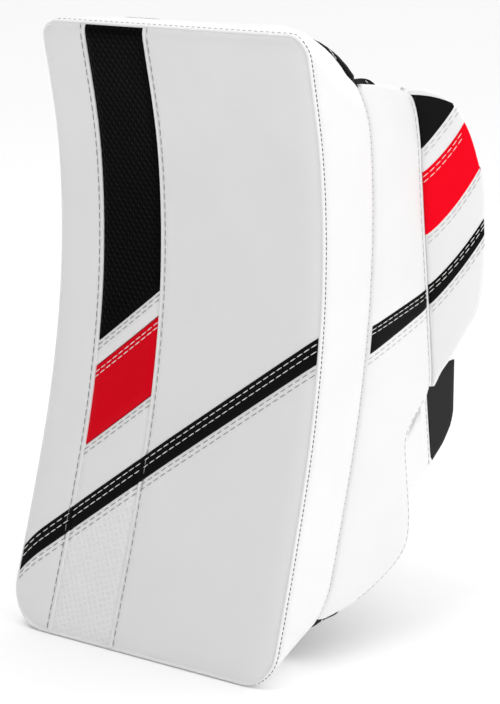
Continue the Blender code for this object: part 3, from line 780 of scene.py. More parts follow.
def ring(name, mat, section, sharp=60):
    """A closed band: section gives, for each outline point, a loop of (share, out, depth function)."""
    bm = bmesh.new()
    grid = [[ring_point(i, *corner) for corner in section(i)] for i in range(len(FRONT_LINE))]
    verts = [[bm.verts.new(p) for p in loop] for loop in grid]
    for i, loop in enumerate(verts):
        nxt = verts[(i + 1) % len(verts)]
        for j in range(len(loop)):
            k = (j + 1) % len(loop)
            bm.faces.new((loop[j], nxt[j], nxt[k], loop[k]))
    bmesh.ops.recalc_face_normals(bm, faces=bm.faces)
    return smooth_piece(name, bm, mat, sharp)


def at_depth(value):
    return lambda z: value


def from_rear(value):
    return lambda z: depth(z) + value


def beside_sidewall(i):
    """True where the sidewall is sewn to the rear outline."""
    x, z, _ = REAR_LINE[i]
    return x > 0.05 and SIDEWALL_LOW < z < SIDEWALL_HIGH


def welt_section(i):
    """Half round, from the face panels over the rim to the gusset."""
    middle, half = 0.85 * MM, 1.05 * MM
    arc = [math.pi * k / 8 for k in range(9)]
    top = [(0.0, -(middle + half * math.cos(a)), at_depth(0.8 * MM - 1.25 * MM * math.sin(a))) for a in arc]
    return top + [(0.0, 0.0002, at_depth(2.2 * MM)), (0.0, -1.9 * MM, at_depth(2.2 * MM))]


def gusset_section(i):
    """A wall 1.8 mm thick: rolled at the face seam, a little full, and rolled at the rear seam."""
    wave = 0.5 * MM * math.sin(i * 1.3) * corner_share(i)
    rear = 1.3 * MM if beside_sidewall(i) else -2.0 * MM + wave
    outer = []
    for s in spread(16):
        away = min(s, 1 - s) * 0.048
        out = -0.9 * MM + swell(away, 1.5 * MM, 5.0 * MM)
        outer.append((s, out, lambda z, s=s: mix(2.5 * MM, depth(z) + rear, s)))
    inner = [(s, -2.8 * MM, outer[k][2]) for k, s in ((16, 1.0), (8, spread(16)[8]), (0, 0.0))]
    return outer + inner


def binding_section(i):
    """Black tape over the rear edge: it stands out at the big corner and is tucked in along the two ends."""
    x, z, _ = REAR_LINE[i]
    corner = corner_share(i)
    start = -0.05 if z > 0 else -0.01
    tucked = min(max((x - start) / 0.03, 0.0), 1.0)
    outward = -2.4 * MM if beside_sidewall(i) else mix(mix(0.35, -1.2, tucked), 2.1, corner) * MM
    inner, soft = min(outward, 0.0) - 2.6 * MM, 0.35 * MM
    low, high = -1.7 * MM, mix(-0.7, 0.9, corner) * MM
    return [(1.0, inner, from_rear(low)), (1.0, outward - soft, from_rear(low)),
            (1.0, outward, from_rear(low + 0.3 * MM)), (1.0, outward, from_rear(high - 0.3 * MM)),
            (1.0, outward - soft, from_rear(high)), (1.0, inner, from_rear(high))]


welt = stand_in(ring("face_welt_cover", white_fabric, welt_section), "blocker", "white_leather",
                "face_welt")
gusset = stand_in(ring("board_gusset_cover", white_fabric, gusset_section), "blocker", "white_leather",
                  "board_gusset")
binding = stand_in(ring("back_binding_tape", nylon, binding_section), "blocker", "black_nylon",
                   "back_binding")
print("rings:", len(welt.data.polygons) + len(gusset.data.polygons) + len(binding.data.polygons), "faces")

# %% Back cover and core foam
BACK_INSET, CORE_INSET, CORE_FRONT, CORE_BACK = 2.6 * MM, 4.0 * MM, 17.8 * MM, 44.0 * MM


def back_cover_grid(deep):
    low, high = rim_limits(REAR_RADII, BACK_INSET)
    edge = HALF_WIDTH - BACK_INSET
    grid = []
    for s in spread(48):
        x = mix(-edge, edge, s)
        heights = [mix(low(x), high(x) - top_slope(x), t) for t in spread(90)]
        grid.append([on_board(x, z, deep(z)) for z in heights])
    return grid


back_cover = solid("back_cover_cloth", back_cover_grid(lambda z: depth(z) + 0.2 * MM),
                   back_cover_grid(lambda z: depth(z) - 1.4 * MM), nylon)
stand_in(back_cover, "blocker", "black_nylon", "back_cover")
core_low, core_high = rim_limits(REAR_RADII, CORE_INSET)
core_edge = HALF_WIDTH - CORE_INSET


def core_grid(deep):
    """The foam's outline at one depth, inside the rear corners and under the sloped top."""
    return [[on_board(x, mix(core_low(x), core_high(x) - 2 * MM, t), deep) for t in even(50)]
            for x in (mix(-1, 1, s) * core_edge for s in even(24))]


core = solid("core_foam_block", core_grid(CORE_FRONT), core_grid(CORE_BACK), foam)
stand_in(core, "blocker", "foam", "core_foam")
print("back cover", len(back_cover.data.polygons), "faces, core", len(core.data.polygons))

# %% [markdown]
# ## Sidewall, wing and thumb shield
# These are foam boards wrapped in coated fabric. The fabric rolls over each edge and ends on the black
# lining inside. A bevelled slab would do for a crude model; here each is a cup: the outer grid swells and
# rolls down at its borders by the distance to them, its border is drawn inwards over the foam's thickness,
# and Solidify gives the fabric its wall.

# %% Wrapped shells
SIDE_LEAN, TUCK_RUN, WING_TURN, WING_GAP = 0.17, 0.036, math.radians(40), 0.0011
REAR_EDGE = (
    (-0.179, -0.076), (-0.173, -0.053), (-0.161, -0.023), (-0.150, -0.0085), (-0.135, -0.0035),
    (-0.108, -0.0035), (-0.083, -0.0035), (-0.072, 0.0030), (-0.060, 0.0150), (-0.050, 0.0185),
    (-0.020, 0.0178), (0.010, 0.0160), (0.040, 0.0135), (0.080, 0.0098), (0.105, 0.0070),
    (0.1245, 0.0010), (0.1315, -0.0065), (0.1355, -0.0180), (0.1375, -0.0340),
)
WING_EDGE = (
    (-0.054, 0.0025), (-0.045, 0.0070), (-0.035, 0.0147), (-0.0255, 0.0210), (-0.016, 0.0270),
    (-0.007, 0.0328), (0.012, 0.0368), (0.032, 0.0390), (0.050, 0.0400), (0.074, 0.0400),
    (0.096, 0.0350), (0.109, 0.0310), (0.118, 0.0266), (0.125, 0.0220), (0.1300, 0.0150),
    (0.1322, 0.0080),
)


def side_x(y, z):
    """x of the sidewall's surface: it follows the board's rear corners, then leans outward."""
    back = y - rim_y(z)
    cut = max(corner_cut(REAR_RADII["right_top"], BOARD_TOP - z),
              corner_cut(REAR_RADII["right_low"], z - BOARD_BOTTOM))
    tuck = cut * min(max(1 - back / TUCK_RUN, 0.0), 1.0)
    return board_x(HALF_WIDTH - tuck, z) + SIDE_LEAN * back


def side_span(z):
    return rim_y(z) + 0.0015, smooth_table(REAR_EDGE, z)


def on_side(share, z, inward):
    start, end = side_span(z)
    y = mix(start, end, share)
    return Vector((side_x(y, z) - inward, y, z))


def on_wing(reach, z, inward):
    y = smooth_table(REAR_EDGE, z)
    along = Vector((math.sin(WING_TURN), math.cos(WING_TURN), 0.0))
    out = Vector((math.cos(WING_TURN), -math.sin(WING_TURN), 0.0))
    return Vector((side_x(y, z), y, z)) + along * (reach + WING_GAP) - out * inward


def table_heights(table, steps):
    """Heights between a table's rows, closest together at both ends of the table."""
    marks = [row[0] for row in table]
    heights = []
    for a, b in zip(marks, marks[1:]):
        heights += [mix(a, b, i / steps) for i in range(steps)]
    return heights + [marks[-1]]


def wrapped_shell(name, mat, grid, away, place, roll, puff, deep, wall, outward):
    """Fabric round a foam board. grid holds (u, v) pairs; place(u, v, inward) is the surface."""
    bm = bmesh.new()
    spots = {}
    points = [[place(u, v, drop(away(u, v), roll) - swell(away(u, v), puff, 9 * MM)) for u, v in column]
              for column in grid]
    verts = lay_quads(bm, points)
    for column, pairs in zip(verts, grid):
        for vert, pair in zip(column, pairs):
            spots[vert] = pair
    edges = [e for e in bm.edges if e.is_boundary]
    made = bmesh.ops.extrude_edge_only(bm, edges=edges)["geom"]
    for vert in [g for g in made if isinstance(g, bmesh.types.BMVert)]:
        source = next(e.other_vert(vert) for e in vert.link_edges if e.other_vert(vert) in spots)
        vert.co = place(*spots[source], deep)
    bmesh.ops.recalc_face_normals(bm, faces=bm.faces)
    bm.faces.ensure_lookup_table()
    middle = verts[len(verts) // 2][len(verts[0]) // 2]
    middle.normal_update()
    if middle.normal.dot(outward) < 0:
        bmesh.ops.reverse_faces(bm, faces=bm.faces)
    obj = smooth_piece(name, bm, mat, 60)
    thick = obj.modifiers.new("Fabric", "SOLIDIFY")
    thick.thickness = wall
    thick.offset = -1
    return bake(obj)


def bake(obj):
    """Applies the object's modifiers by keeping what they make."""
    graph = bpy.context.evaluated_depsgraph_get()
    mesh = bpy.data.meshes.new_from_object(obj.evaluated_get(graph), depsgraph=graph)
    mesh.name = obj.name
    obj.modifiers.clear()
    old, obj.data = obj.data, mesh
    bpy.data.meshes.remove(old)
    return obj


def side_away(share, z):
    start, end = side_span(z)
    return min(share, 1 - share) * (end - start)


def top_dip(share, z):
    """The sidewall's top edge falls a little towards the board."""
    return 2.8 * MM * max(1 - share / 0.35, 0.0) ** 2 * min(max((z - 0.122) / 0.0155, 0.0), 1.0)


side_heights = table_heights(REAR_EDGE, 6)
side_grid = [[(share, z - top_dip(share, z)) for z in side_heights] for share in spread(22)]
side_shell = wrapped_shell("sidewall_cover", white_fabric, side_grid, side_away, on_side, 1.8 * MM, 0.9 * MM,
                           11.2 * MM, 1.0 * MM, Vector((1, 0, 0)))
stand_in(side_shell, "blocker", "white_leather", "sidewall_shell")


def wing_reach(z):
    return smooth_table(WING_EDGE, z)


def wing_away(reach, z):
    low, high = WING_EDGE[0][0], WING_EDGE[-1][0]
    return min(reach, (wing_reach(z) - reach) * 0.9, high - z, z - low)


wing_heights = [mix(WING_EDGE[0][0], WING_EDGE[-1][0], t) for t in spread(110)]
wing_grid = [[(share * wing_reach(z), z) for z in wing_heights] for share in spread(20)]
wing_out = Vector((math.cos(WING_TURN), -math.sin(WING_TURN), 0.0))
wing_shell = wrapped_shell("wing_cover", white_fabric, wing_grid, wing_away, on_wing, 2.2 * MM, 0.7 * MM,
                           7.3 * MM, 1.0 * MM, wing_out)
stand_in(wing_shell, "blocker", "white_leather", "wing_shell")
print("shells:", len(side_shell.data.polygons), "and", len(wing_shell.data.polygons), "faces")

# %% Linings of the sidewall and the wing, and the sidewall's foam
def layer_of(name, mat, grid, place, near, far):
    """A layer behind a shell's surface, between two depths."""
    front = [[place(u, v, near) for u, v in column] for column in grid]
    back = [[place(u, v, far) for u, v in column] for column in grid]
    return solid(name, front, back, mat)


def shrunk(grid, columns, rows):
    """The same grid without its outermost columns and rows, and half as fine."""
    return [column[rows:len(column) - rows:2] for column in grid[columns:len(grid) - columns:2]]


side_lining = layer_of("sidewall_lining", lining, shrunk(side_grid, 3, 3), on_side, 10.6 * MM, 12.6 * MM)
stand_in(side_lining, "blocker", "black_nylon", "sidewall_liner")
wing_lining = layer_of("wing_lining", lining, shrunk(wing_grid, 3, 8), on_wing, 6.6 * MM, 8.2 * MM)
stand_in(wing_lining, "blocker", "black_nylon", "wing_liner")
side_foam = layer_of("sidewall_foam_block", foam, shrunk(side_grid, 3, 3), on_side, 3.0 * MM, 10.3 * MM)
stand_in(side_foam, "blocker", "foam", "sidewall_core")
print("behind the shells:", side_lining.name, wing_lining.name, side_foam.name)

# %% Coloured pieces of the sidewall and the wing
def laid_piece(name, mat, surface, place, normal, columns, low, high, rows, thick):
    """A thin piece laid on a shell: each point is dropped on to it along the shell's own normal."""
    front, back = [], []
    for u in columns:
        front.append([])
        back.append([])
        for t in spread(rows):
            v = mix(low(u), high(u), t)
            away = min(t, 1 - t) * abs(high(u) - low(u))
            start = place(u, v, -12 * MM)
            hit = surface.ray_cast(start, -normal, 0.03)[0] or place(u, v, 0.0)
            front[-1].append(hit + normal * (0.12 * MM + swell(away, thick, 1.0 * MM)))
            back[-1].append(hit - normal * 0.25 * MM)
    return solid(name, front, back, mat)


def curve(height, slope, bow):
    return lambda u: height + slope * u + bow * u ** 2


def wing_top(reach):
    """Height of the wing's free edge on its upper side."""
    falling = [(r, z) for z, r in reversed(WING_EDGE) if z >= 0.074]
    return smooth_table(falling, reach)


def side_stripe_low(share):
    return mix(-0.0238, -0.0022, share)


def side_stripe_high(share):
    return mix(-0.0070, 0.0090, share)


side_surface, wing_surface = surface_of(side_shell), surface_of(wing_shell)
side_out = Vector((1.0, -SIDE_LEAN, 0.0)).normalized()
side_stripe = laid_piece("sidewall_stripe_cover", black_fabric, side_surface, on_side, side_out,
                         [mix(0.004, 0.985, s) for s in even(24)], side_stripe_low, side_stripe_high,
                         8, 0.5 * MM)
stand_in(side_stripe, "blocker", "black_leather", "sidewall_stripe")
black_low, red_top, red_low = curve(0.0950, 1.02, 2.0), curve(0.0805, 0.74, 11.0), curve(0.0415, 0.68, 11.5)
stripe_top, stripe_low = curve(0.0103, 0.77, 7.5), curve(-0.0022, 0.86, 6.5)
wing_pieces = (
    ("wing_black_panel", black_fabric, "black_leather", 0.0002, 0.0240, black_low,
     lambda u: 0.1290 - 11.0 * u ** 2),
    ("wing_red_panel", wing_red, "red_leather", 0.0004, 0.0374, red_low,
     lambda u: min(red_top(u), wing_top(u + 0.0012))),
    ("wing_stripe", black_fabric, "black_leather", 0.0004, 0.0382, stripe_low, stripe_top),
)
wing_laid = []
for name, mat, slot_name, start, end, low, high in wing_pieces:
    piece = laid_piece(name + "_cover", mat, wing_surface, on_wing, wing_out,
                       [mix(start, end, s) for s in even(30)], low, high, 14, 0.45 * MM)
    wing_laid.append(stand_in(piece, "blocker", slot_name, name))
print("laid on the wing:", [o.name for o in wing_laid])

# %% Thumb shield
GUARD_FACE, GUARD_BACK, GUARD_INLAY = 0.104, 0.0615, (0.0245, 0.0605)
GUARD_LOW = ((0.000, -0.1275), (0.010, -0.1225), (0.022, -0.1170), (0.036, -0.1095), (0.046, -0.1020),
             (0.054, -0.0950), (0.059, -0.0860), (0.0615, -0.0780))
GUARD_HIGH = ((0.000, -0.0870), (0.010, -0.0800), (0.019, -0.0705), (0.0205, -0.0480), (0.030, -0.0440),
              (0.0615, -0.0440))


def guard_high(y):
    return float(np.interp(y, [p for p, _ in GUARD_HIGH], [v for _, v in GUARD_HIGH]))


def guard_low(y):
    return smooth_table(GUARD_LOW, y)


def on_guard(y, z, inward):
    return Vector((GUARD_FACE - inward, y, z))


def guard_away(y, z):
    return min(y, GUARD_BACK - y, guard_high(y) - z, (z - guard_low(y)) * 0.8)


guard_columns = sorted({mix(0.0, GUARD_BACK, s) for s in spread(34)} | {0.019, 0.0205})
guard_grid = [[(y, mix(guard_low(y), guard_high(y), t)) for t in spread(30)] for y in guard_columns]
guard_shell = wrapped_shell("thumb_shield_cover", white_fabric, guard_grid, guard_away, on_guard, 2.2 * MM,
                            0.9 * MM, 9.8 * MM, 1.0 * MM, Vector((1, 0, 0)))
stand_in(guard_shell, "thumb", "white_leather", "thumb_guard_shell")
guard_lining = layer_of("thumb_shield_lining", lining, shrunk(guard_grid, 4, 4), on_guard,
                        9.6 * MM, 11.6 * MM)
stand_in(guard_lining, "thumb", "black_nylon", "thumb_guard_liner")
guard_surface = surface_of(guard_shell)
INLAY_LOW_EDGE = ((0.0245, -0.0520), (0.0320, -0.1030), (0.0345, -0.1062), (0.047, -0.0985), (0.056, -0.0885),
                  (0.0605, -0.0780))
INLAY_HIGH_EDGE = ((0.0245, -0.0515), (0.0265, -0.0497), (0.031, -0.0467), (0.037, -0.0455),
                   (0.0605, -0.0455))
guard_inlay = laid_piece("thumb_shield_inlay", mesh_textile, guard_surface, on_guard, Vector((1, 0, 0)),
                         [mix(*GUARD_INLAY, s) for s in even(36)],
                         lambda y: float(np.interp(y, *zip(*INLAY_LOW_EDGE))),
                         lambda y: float(np.interp(y, *zip(*INLAY_HIGH_EDGE))), 24, 0.5 * MM)
stand_in(guard_inlay, "thumb", "black_mesh", "thumb_guard_inlay")
guard_seam = [on_guard(mix(0.0228, 0.0302, t), mix(-0.0535, -0.1065, t), -1.0 * MM) for t in even(20)]
print("thumb shield:", len(guard_shell.data.polygons), "faces")

# %% Piping and corner cloths
def tube(name, mat, path, radius, sides=10):
    """A round cord along a path, its frame carried along so that it doesn't twist, with closed ends."""
    bm = bmesh.new()
    rings = []
    across = Vector((1, 0, 0))
    for i, point in enumerate(path):
        ahead = (path[min(i + 1, len(path) - 1)] - path[max(i - 1, 0)]).normalized()
        across = (across - ahead * across.dot(ahead)).normalized()
        up = ahead.cross(across)
        turns = [math.tau * k / sides for k in range(sides)]
        rings.append([bm.verts.new(point + (across * math.cos(a) + up * math.sin(a)) * radius)
                      for a in turns])
    for ring_a, ring_b in zip(rings, rings[1:]):
        for k in range(sides):
            bm.faces.new((ring_a[k], ring_a[(k + 1) % sides], ring_b[(k + 1) % sides], ring_b[k]))
    bm.faces.new(rings[0])
    bm.faces.new(rings[-1])
    bmesh.ops.recalc_face_normals(bm, faces=bm.faces)
    return smooth_piece(name, bm, mat)


SEAM_LOW, SEAM_HIGH = -0.0535, 0.1318
seam_path = [on_side(1.0, mix(SEAM_LOW, SEAM_HIGH, t), 1.1 * MM) + Vector((0.0004, 0.0003, 0))
             for t in even(90)]
piping = stand_in(tube("wing_seam_piping", white_fabric, seam_path, 1.35 * MM), "blocker", "white_leather")


def corner_cloth(name, low, high, reach, inward):
    """Black cloth tucked between the board's rear edge and the sidewall; high falls off with share."""
    def grid(offset):
        columns = []
        for share in even(10):
            top = high(share)
            column = []
            for t in even(8):
                z = mix(low(share), top, t)
                y = rim_y(z) + 0.0006 + share * reach
                column.append(Vector((side_x(y, z) - inward + 0.6 * MM * math.sin(9 * share) - offset, y, z)))
            columns.append(column)
        return columns
    return solid(name, grid(0.0), grid(1.3 * MM), nylon)


top_cloth = corner_cloth("top_corner_cloth_tucked", lambda s: 0.1180,
                         lambda s: 0.1405 - 0.0050 * max((s - 0.6) / 0.4, 0.0) ** 2, 0.0160, 3.0 * MM)
low_cloth = corner_cloth("bottom_corner_cloth_tucked", lambda s: -0.1856 + 0.0070 * s, lambda s: -0.1600,
                         0.0175, 2.0 * MM)
stand_in(top_cloth, "blocker", "black_nylon", "top_corner_cloth")
stand_in(low_cloth, "blocker", "black_nylon", "bottom_corner_cloth")
print("piping and corner cloths:", piping.name, top_cloth.name, low_cloth.name)

# %% [markdown]
# ## The glove
# The glove is sewn to the board's back. Its backhand and the outsides of its fingers are soft pads, its
# palm is suede, and each finger is a stall that bends with the finger. Pads that are full of soft foam look
# wrong as bevelled boxes, so they are blown up by a short cloth simulation: the pad starts a little
# small, pressure fills it, and the swelling is capped so that it stays in its space. Sewn channels are
# pressed in afterwards, because the remesh would erase them.

# %% Pads by cloth simulation
def inflated(obj, voxel, pressure, cap, still=None):
    """Remeshes a closed pad, blows it up as cloth for 20 frames, caps each point's travel, smooths it."""
    remesh = obj.modifiers.new("Even mesh", "REMESH")
    remesh.mode, remesh.voxel_size = "VOXEL", voxel
    remesh.use_smooth_shade = True
    bake(obj)
    before = [v.co.copy() for v in obj.data.vertices]
    cloth = obj.modifiers.new("Cloth", "CLOTH")
    cloth.settings.quality = 5
    cloth.settings.use_pressure = True
    cloth.settings.uniform_pressure_force = pressure
    cloth.settings.effector_weights.gravity = 0.0
    cloth.settings.tension_stiffness = 18.0
    cloth.settings.bending_stiffness = 0.6
    for number in range(1, 21):
        scene.frame_set(number)
    bake(obj)
    for vert, start in zip(obj.data.vertices, before):
        travel = vert.co - start
        limit = cap if still is None else cap * still(start)
        if travel.length > limit:
            travel *= limit / max(travel.length, 1e-9)
        vert.co = start + travel
    scene.frame_set(1)
    finer = obj.modifiers.new("Smooth", "SUBSURF")
    finer.levels = finer.render_levels = 1
    return bake(obj)


def press_channels(obj, lines, depth_by, width, reach):
    """Presses sewn channels into a pad: each line gives a point's distance from it."""
    for vert in obj.data.vertices:
        near = min(line(vert.co) for line in lines)
        vert.co += reach(vert.co) * depth_by * math.exp(-(near / width) ** 2)
    return obj


def block(name, mat, low, high, round_by, steps=4):
    """A rounded block to start a pad from."""
    bm = bmesh.new()
    bmesh.ops.create_cube(bm, size=1.0)
    size, middle = Vector(high) - Vector(low), (Vector(low) + Vector(high)) / 2
    bmesh.ops.scale(bm, verts=bm.verts, vec=size)
    bmesh.ops.translate(bm, verts=bm.verts, vec=middle)
    bmesh.ops.bevel(bm, geom=list(bm.edges), offset=round_by, segments=steps, profile=0.5, affect="EDGES")
    return smooth_piece(name, bm, mat)


def pad_behind_board(name, node, inset, across, up):
    """A closed pad between the board's curved back and its own flat back, a little inside its solid."""
    low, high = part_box(node)
    back_y = high.y
    front, back = [], []
    for s in even(across):
        x = mix(low.x + inset, high.x - inset, s)
        heights = [mix(low.z + inset, high.z - inset, t) for t in even(up)]
        front.append([Vector((x, rim_y(z) + 0.0022, z)) for z in heights])
        back.append([Vector((x, back_y - inset * 0.6, z)) for z in heights])
    return solid(name, front, back, lining)


FINGERS = ("little", "ring", "middle", "index")
FINGER_PITCH, FINGER_FIRST_X, FINGER_HALF = 0.0235, -0.0350, 0.0110
KNUCKLE_Z, PALM_Y = -0.050, 0.0241
backhand = pad_behind_board("backhand_padding", "backhand_pad", 2.5 * MM, 14, 12)
inflated(backhand, 4 * MM, 5.0, 3.2 * MM)
wrist = pad_behind_board("wrist_padding", "wrist_pad", 2.0 * MM, 12, 6)
inflated(wrist, 4 * MM, 5.0, 3.0 * MM)


def back_only(point):
    return Vector((0, -1, 0)) if point.y > -0.034 else Vector((0, 0, 0))


quilting = [lambda p: abs((p.x + p.z) % 0.030 - 0.015), lambda p: abs((p.x - p.z) % 0.030 - 0.015)]
press_channels(backhand, quilting, 1.3 * MM, 2.2 * MM, back_only)
press_channels(wrist, [lambda p: abs(p.x - 0.0), lambda p: abs(p.x - 0.035)], 1.3 * MM, 2.2 * MM, back_only)
stand_in(backhand, "blocker", "black_nylon", "backhand_pad")
stand_in(wrist, "blocker", "black_nylon", "wrist_pad")
print("pads:", len(backhand.data.polygons), len(wrist.data.polygons), "faces")

# %% Finger pads
for i, finger in enumerate(FINGERS):
    low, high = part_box(finger + "_finger_pad")
    start = Vector((1.6, 1.4, 2.0)) * MM
    pad = block(finger + "_finger_padding", white_fabric, low + start, high - start, 3.4 * MM)
    inflated(pad, 2.4 * MM, 5.0, 1.9 * MM)
    length = high.z - low.z
    channels = [lambda p, at=high.z - length * share: abs(p.z - at) for share in (0.34, 0.66)]
    press_channels(pad, channels, 1.8 * MM, 1.8 * MM,
                   lambda p, top=high.y: Vector((0, 1, 0)) if p.y < top - 5 * MM else Vector((0, 0, 0)))
    stand_in(pad, finger + "_finger", "white_leather", finger + "_finger_pad")
print("finger pads:", len(pad.data.polygons), "faces each")

# %% [markdown]
# A finger stall is suede over the palm side of the finger, sewn to the pad along both sides and round its
# tip. It is a half tube: one rule gives its section, a squarish half ellipse, and another closes it
# at the tip like a dome. The thumb stall is a whole tube of the same kind. Between the hand and each
# stall sits a sleeve of stretch knit over the knuckle.

# %% Stalls
def dome(u, start):
    """1 along a stall, falling to nothing at its tip like a quarter circle."""
    past = max((u - start) / (1 - start), 0.0)
    return math.sqrt(max(1 - past ** 2, 0.0)) * 0.97 + 0.03


def squarish(turn, power=0.72):
    c, s = math.cos(turn), math.sin(turn)
    return math.copysign(abs(c) ** power, c), math.copysign(abs(s) ** power, s)


def stall(name, centre, half, low, high, top, bottom, around, whole):
    """A tube, or half of one towards the palm, in suede. half is its half width, low and high its y."""
    bm = bmesh.new()
    length = top - bottom
    grid = []
    turns = [mix(0, math.tau if whole else math.pi, k / around)
             for k in range(around if whole else around + 1)]
    for turn in turns:
        across, back = squarish(turn)
        column = []
        for t in even(34):
            u = math.sin(t * math.pi / 2)
            width = dome(u, 1 - half / length)
            if whole:
                y = (low + high) / 2 + back * (high - low) / 2 * width
            else:
                y = low + back * (high - low) * width
            column.append(Vector((centre + across * half * width, y, top - length * u)))
        grid.append(column)
    lay_quads(bm, grid, closed=whole)
    bmesh.ops.recalc_face_normals(bm, faces=bm.faces)
    bm.faces.ensure_lookup_table()
    face = bm.faces[len(bm.faces) // 2]
    middle = Vector((centre, (low + high) / 2 if whole else low, face.calc_center_median().z))
    if face.normal.dot(face.calc_center_median() - middle) < 0:
        bmesh.ops.reverse_faces(bm, faces=bm.faces)
    obj = smooth_piece(name, bm, suede)
    wall = obj.modifiers.new("Suede", "SOLIDIFY")
    wall.thickness, wall.offset = 1.2 * MM, -1
    return bake(obj)


for i, finger in enumerate(FINGERS):
    low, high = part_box(finger + "_finger_palm")
    middle_x, front_y = (low.x + high.x) / 2, low.y + 0.2 * MM
    piece = stall(finger + "_finger_stall", middle_x, FINGER_HALF, front_y, high.y, high.z,
                  low.z, 18, False)
    stand_in(piece, finger + "_finger", "palm_suede", finger + "_finger_palm")
thumb_low, thumb_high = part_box("thumb_stall")
thumb_middle = (thumb_low + thumb_high) / 2
thumb_half = (thumb_high.x - thumb_low.x) / 2
thumb = stall("thumb_stall_suede", thumb_middle.x, thumb_half, thumb_low.y, thumb_high.y,
              thumb_high.z, thumb_low.z, 28, True)
stand_in(thumb, "thumb", "palm_suede", "thumb_stall")
print("stalls:", len(piece.data.polygons), "faces each, thumb", len(thumb.data.polygons))


# %% Knit sleeves over the joints
def sleeve(name, sections, around=28):
    """A knit tube through the given sections (centre, half width, half depth)."""
    bm = bmesh.new()
    grid = []
    for k in range(around):
        across, back = squarish(math.tau * k / around, 0.8)
        column = []
        for t in even(12):
            place = t * (len(sections) - 1)
            n = min(int(place), len(sections) - 2)
            f = place - n
            a, b = sections[n], sections[n + 1]
            centre, width, deep = a[0].lerp(b[0], f), mix(a[1], b[1], f), mix(a[2], b[2], f)
            pleat = 0.25 * MM * math.sin(t * math.pi * 6)
            column.append(centre + Vector((across * (width + pleat), back * (deep + pleat), 0.0)))
        grid.append(column)
    lay_quads(bm, grid, closed=True)
    bmesh.ops.recalc_face_normals(bm, faces=bm.faces)
    bm.faces.ensure_lookup_table()
    face = bm.faces[0]
    if face.normal.dot(face.calc_center_median() - sections[0][0]) < 0:
        bmesh.ops.reverse_faces(bm, faces=bm.faces)
    obj = smooth_piece(name, bm, stretch)
    wall = obj.modifiers.new("Knit", "SOLIDIFY")
    wall.thickness, wall.offset = 0.8 * MM, -1
    bake(obj)
    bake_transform(obj)
    return obj


for i, finger in enumerate(FINGERS):
    x = FINGER_FIRST_X + i * FINGER_PITCH
    sections = [(Vector((x, 0.0010, -0.0345)), 0.0110, 0.0205),
                (Vector((x, 0.0000, KNUCKLE_Z)), 0.0106, 0.0180),
                (Vector((x, -0.0020, -0.0620)), 0.0100, 0.0140)]
    knit = sleeve(finger + "_knuckle_sleeve", sections)
thumb_sections = [(Vector((0.0755, 0.0300, -0.0120)), 0.0125, 0.0160),
                  (Vector((0.0785, 0.0345, -0.0340)), 0.0120, 0.0160),
                  (Vector((thumb_middle.x, thumb_middle.y, -0.0560)), 0.0105, 0.0148)]
sleeve("thumb_root_sleeve", thumb_sections)
print("sleeves:", len(knit.data.polygons), "faces each")

# %% [markdown]
# The palm, its sewn-on wear patch, the strap and its hook and loop are flat goods: all lie behind the hand
# and share the palm's slight crown. One function cuts such a piece with rounded corners and softened
# edges; the outlines come from the frame's boxes. The palm's edge rises in a curve where the thumb
# leaves it.

# %% Flat goods of the palm and strap
def palm_crown(x, z):
    """How far the palm and what is sewn on it bulge over the hand."""
    low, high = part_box("palm_panel")
    across = (2 * x - low.x - high.x) / (high.x - low.x)
    up = (2 * z - low.z - high.z) / (high.z - low.z)
    return PALM_CROWN * (max(1 - across ** 2, 0.0) * max(1 - up ** 2, 0.0)) ** 0.7


def flat_piece(name, mat, box, corner, soften, low_edge=None, across=40, up=30):
    """A piece facing +Y inside a box, crowned like the palm, with rounded corners and a shaped lower edge."""
    low, high = box
    front, back = [], []
    for s in spread(across):
        x = mix(low.x, high.x, s)
        cut = corner_cut(corner, min(x - low.x, high.x - x))
        bottom = (low_edge(x) if low_edge else low.z) + cut
        top = high.z - cut
        front.append([])
        back.append([])
        for t in spread(up):
            z = mix(bottom, top, t)
            away = min(x - low.x, high.x - x, z - bottom, top - z)
            crown = palm_crown(x, z)
            front[-1].append(Vector((x, high.y + crown - drop(away, soften), z)))
            back[-1].append(Vector((x, low.y + crown, z)))
    return solid(name, back, front, mat)


THUMB_STEP, PALM_CROWN = (0.044, 0.060), 3.5 * MM


def palm_low(x):
    """The palm's lower edge: level across the fingers, then up in a curve past the thumb."""
    t = min(max((x - THUMB_STEP[0]) / (THUMB_STEP[1] - THUMB_STEP[0]), 0.0), 1.0)
    return mix(-0.036, 0.006, t * t * (3 - 2 * t))


palm = flat_piece("palm_suede_panel", suede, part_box("palm_panel"), 12 * MM, 1.2 * MM, palm_low, 70, 50)
stand_in(palm, "blocker", "palm_suede", "palm_panel")
FLAT_GOODS = (
    ("palm_patch", "palm_wear_patch", suede, "palm_suede", "blocker", 7 * MM, 0.5 * MM),
    ("strap_anchor", "strap_anchor_tab", nylon, "black_nylon", "blocker", 1.0 * MM, 0.8 * MM),
    ("wrist_strap", "wrist_strap_web", webbing, "black_nylon", "strap", 2.0 * MM, 0.6 * MM),
    ("strap_pull_tab", "strap_pull_tab_folded", red_fabric, "red_leather", "strap", 4.0 * MM, 0.9 * MM),
    ("strap_hook_patch", "strap_hook_tape", hook_tape, "black_nylon", "strap", 1.5 * MM, 0.3 * MM),
    ("strap_loop_patch", "palm_loop_tape", loop_pile, "black_nylon", "blocker", 1.5 * MM, 0.3 * MM),
)
for node, name, mat, slot_name, body, corner, soften in FLAT_GOODS:
    stand_in(flat_piece(name, mat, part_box(node), corner, soften), body, slot_name, node)

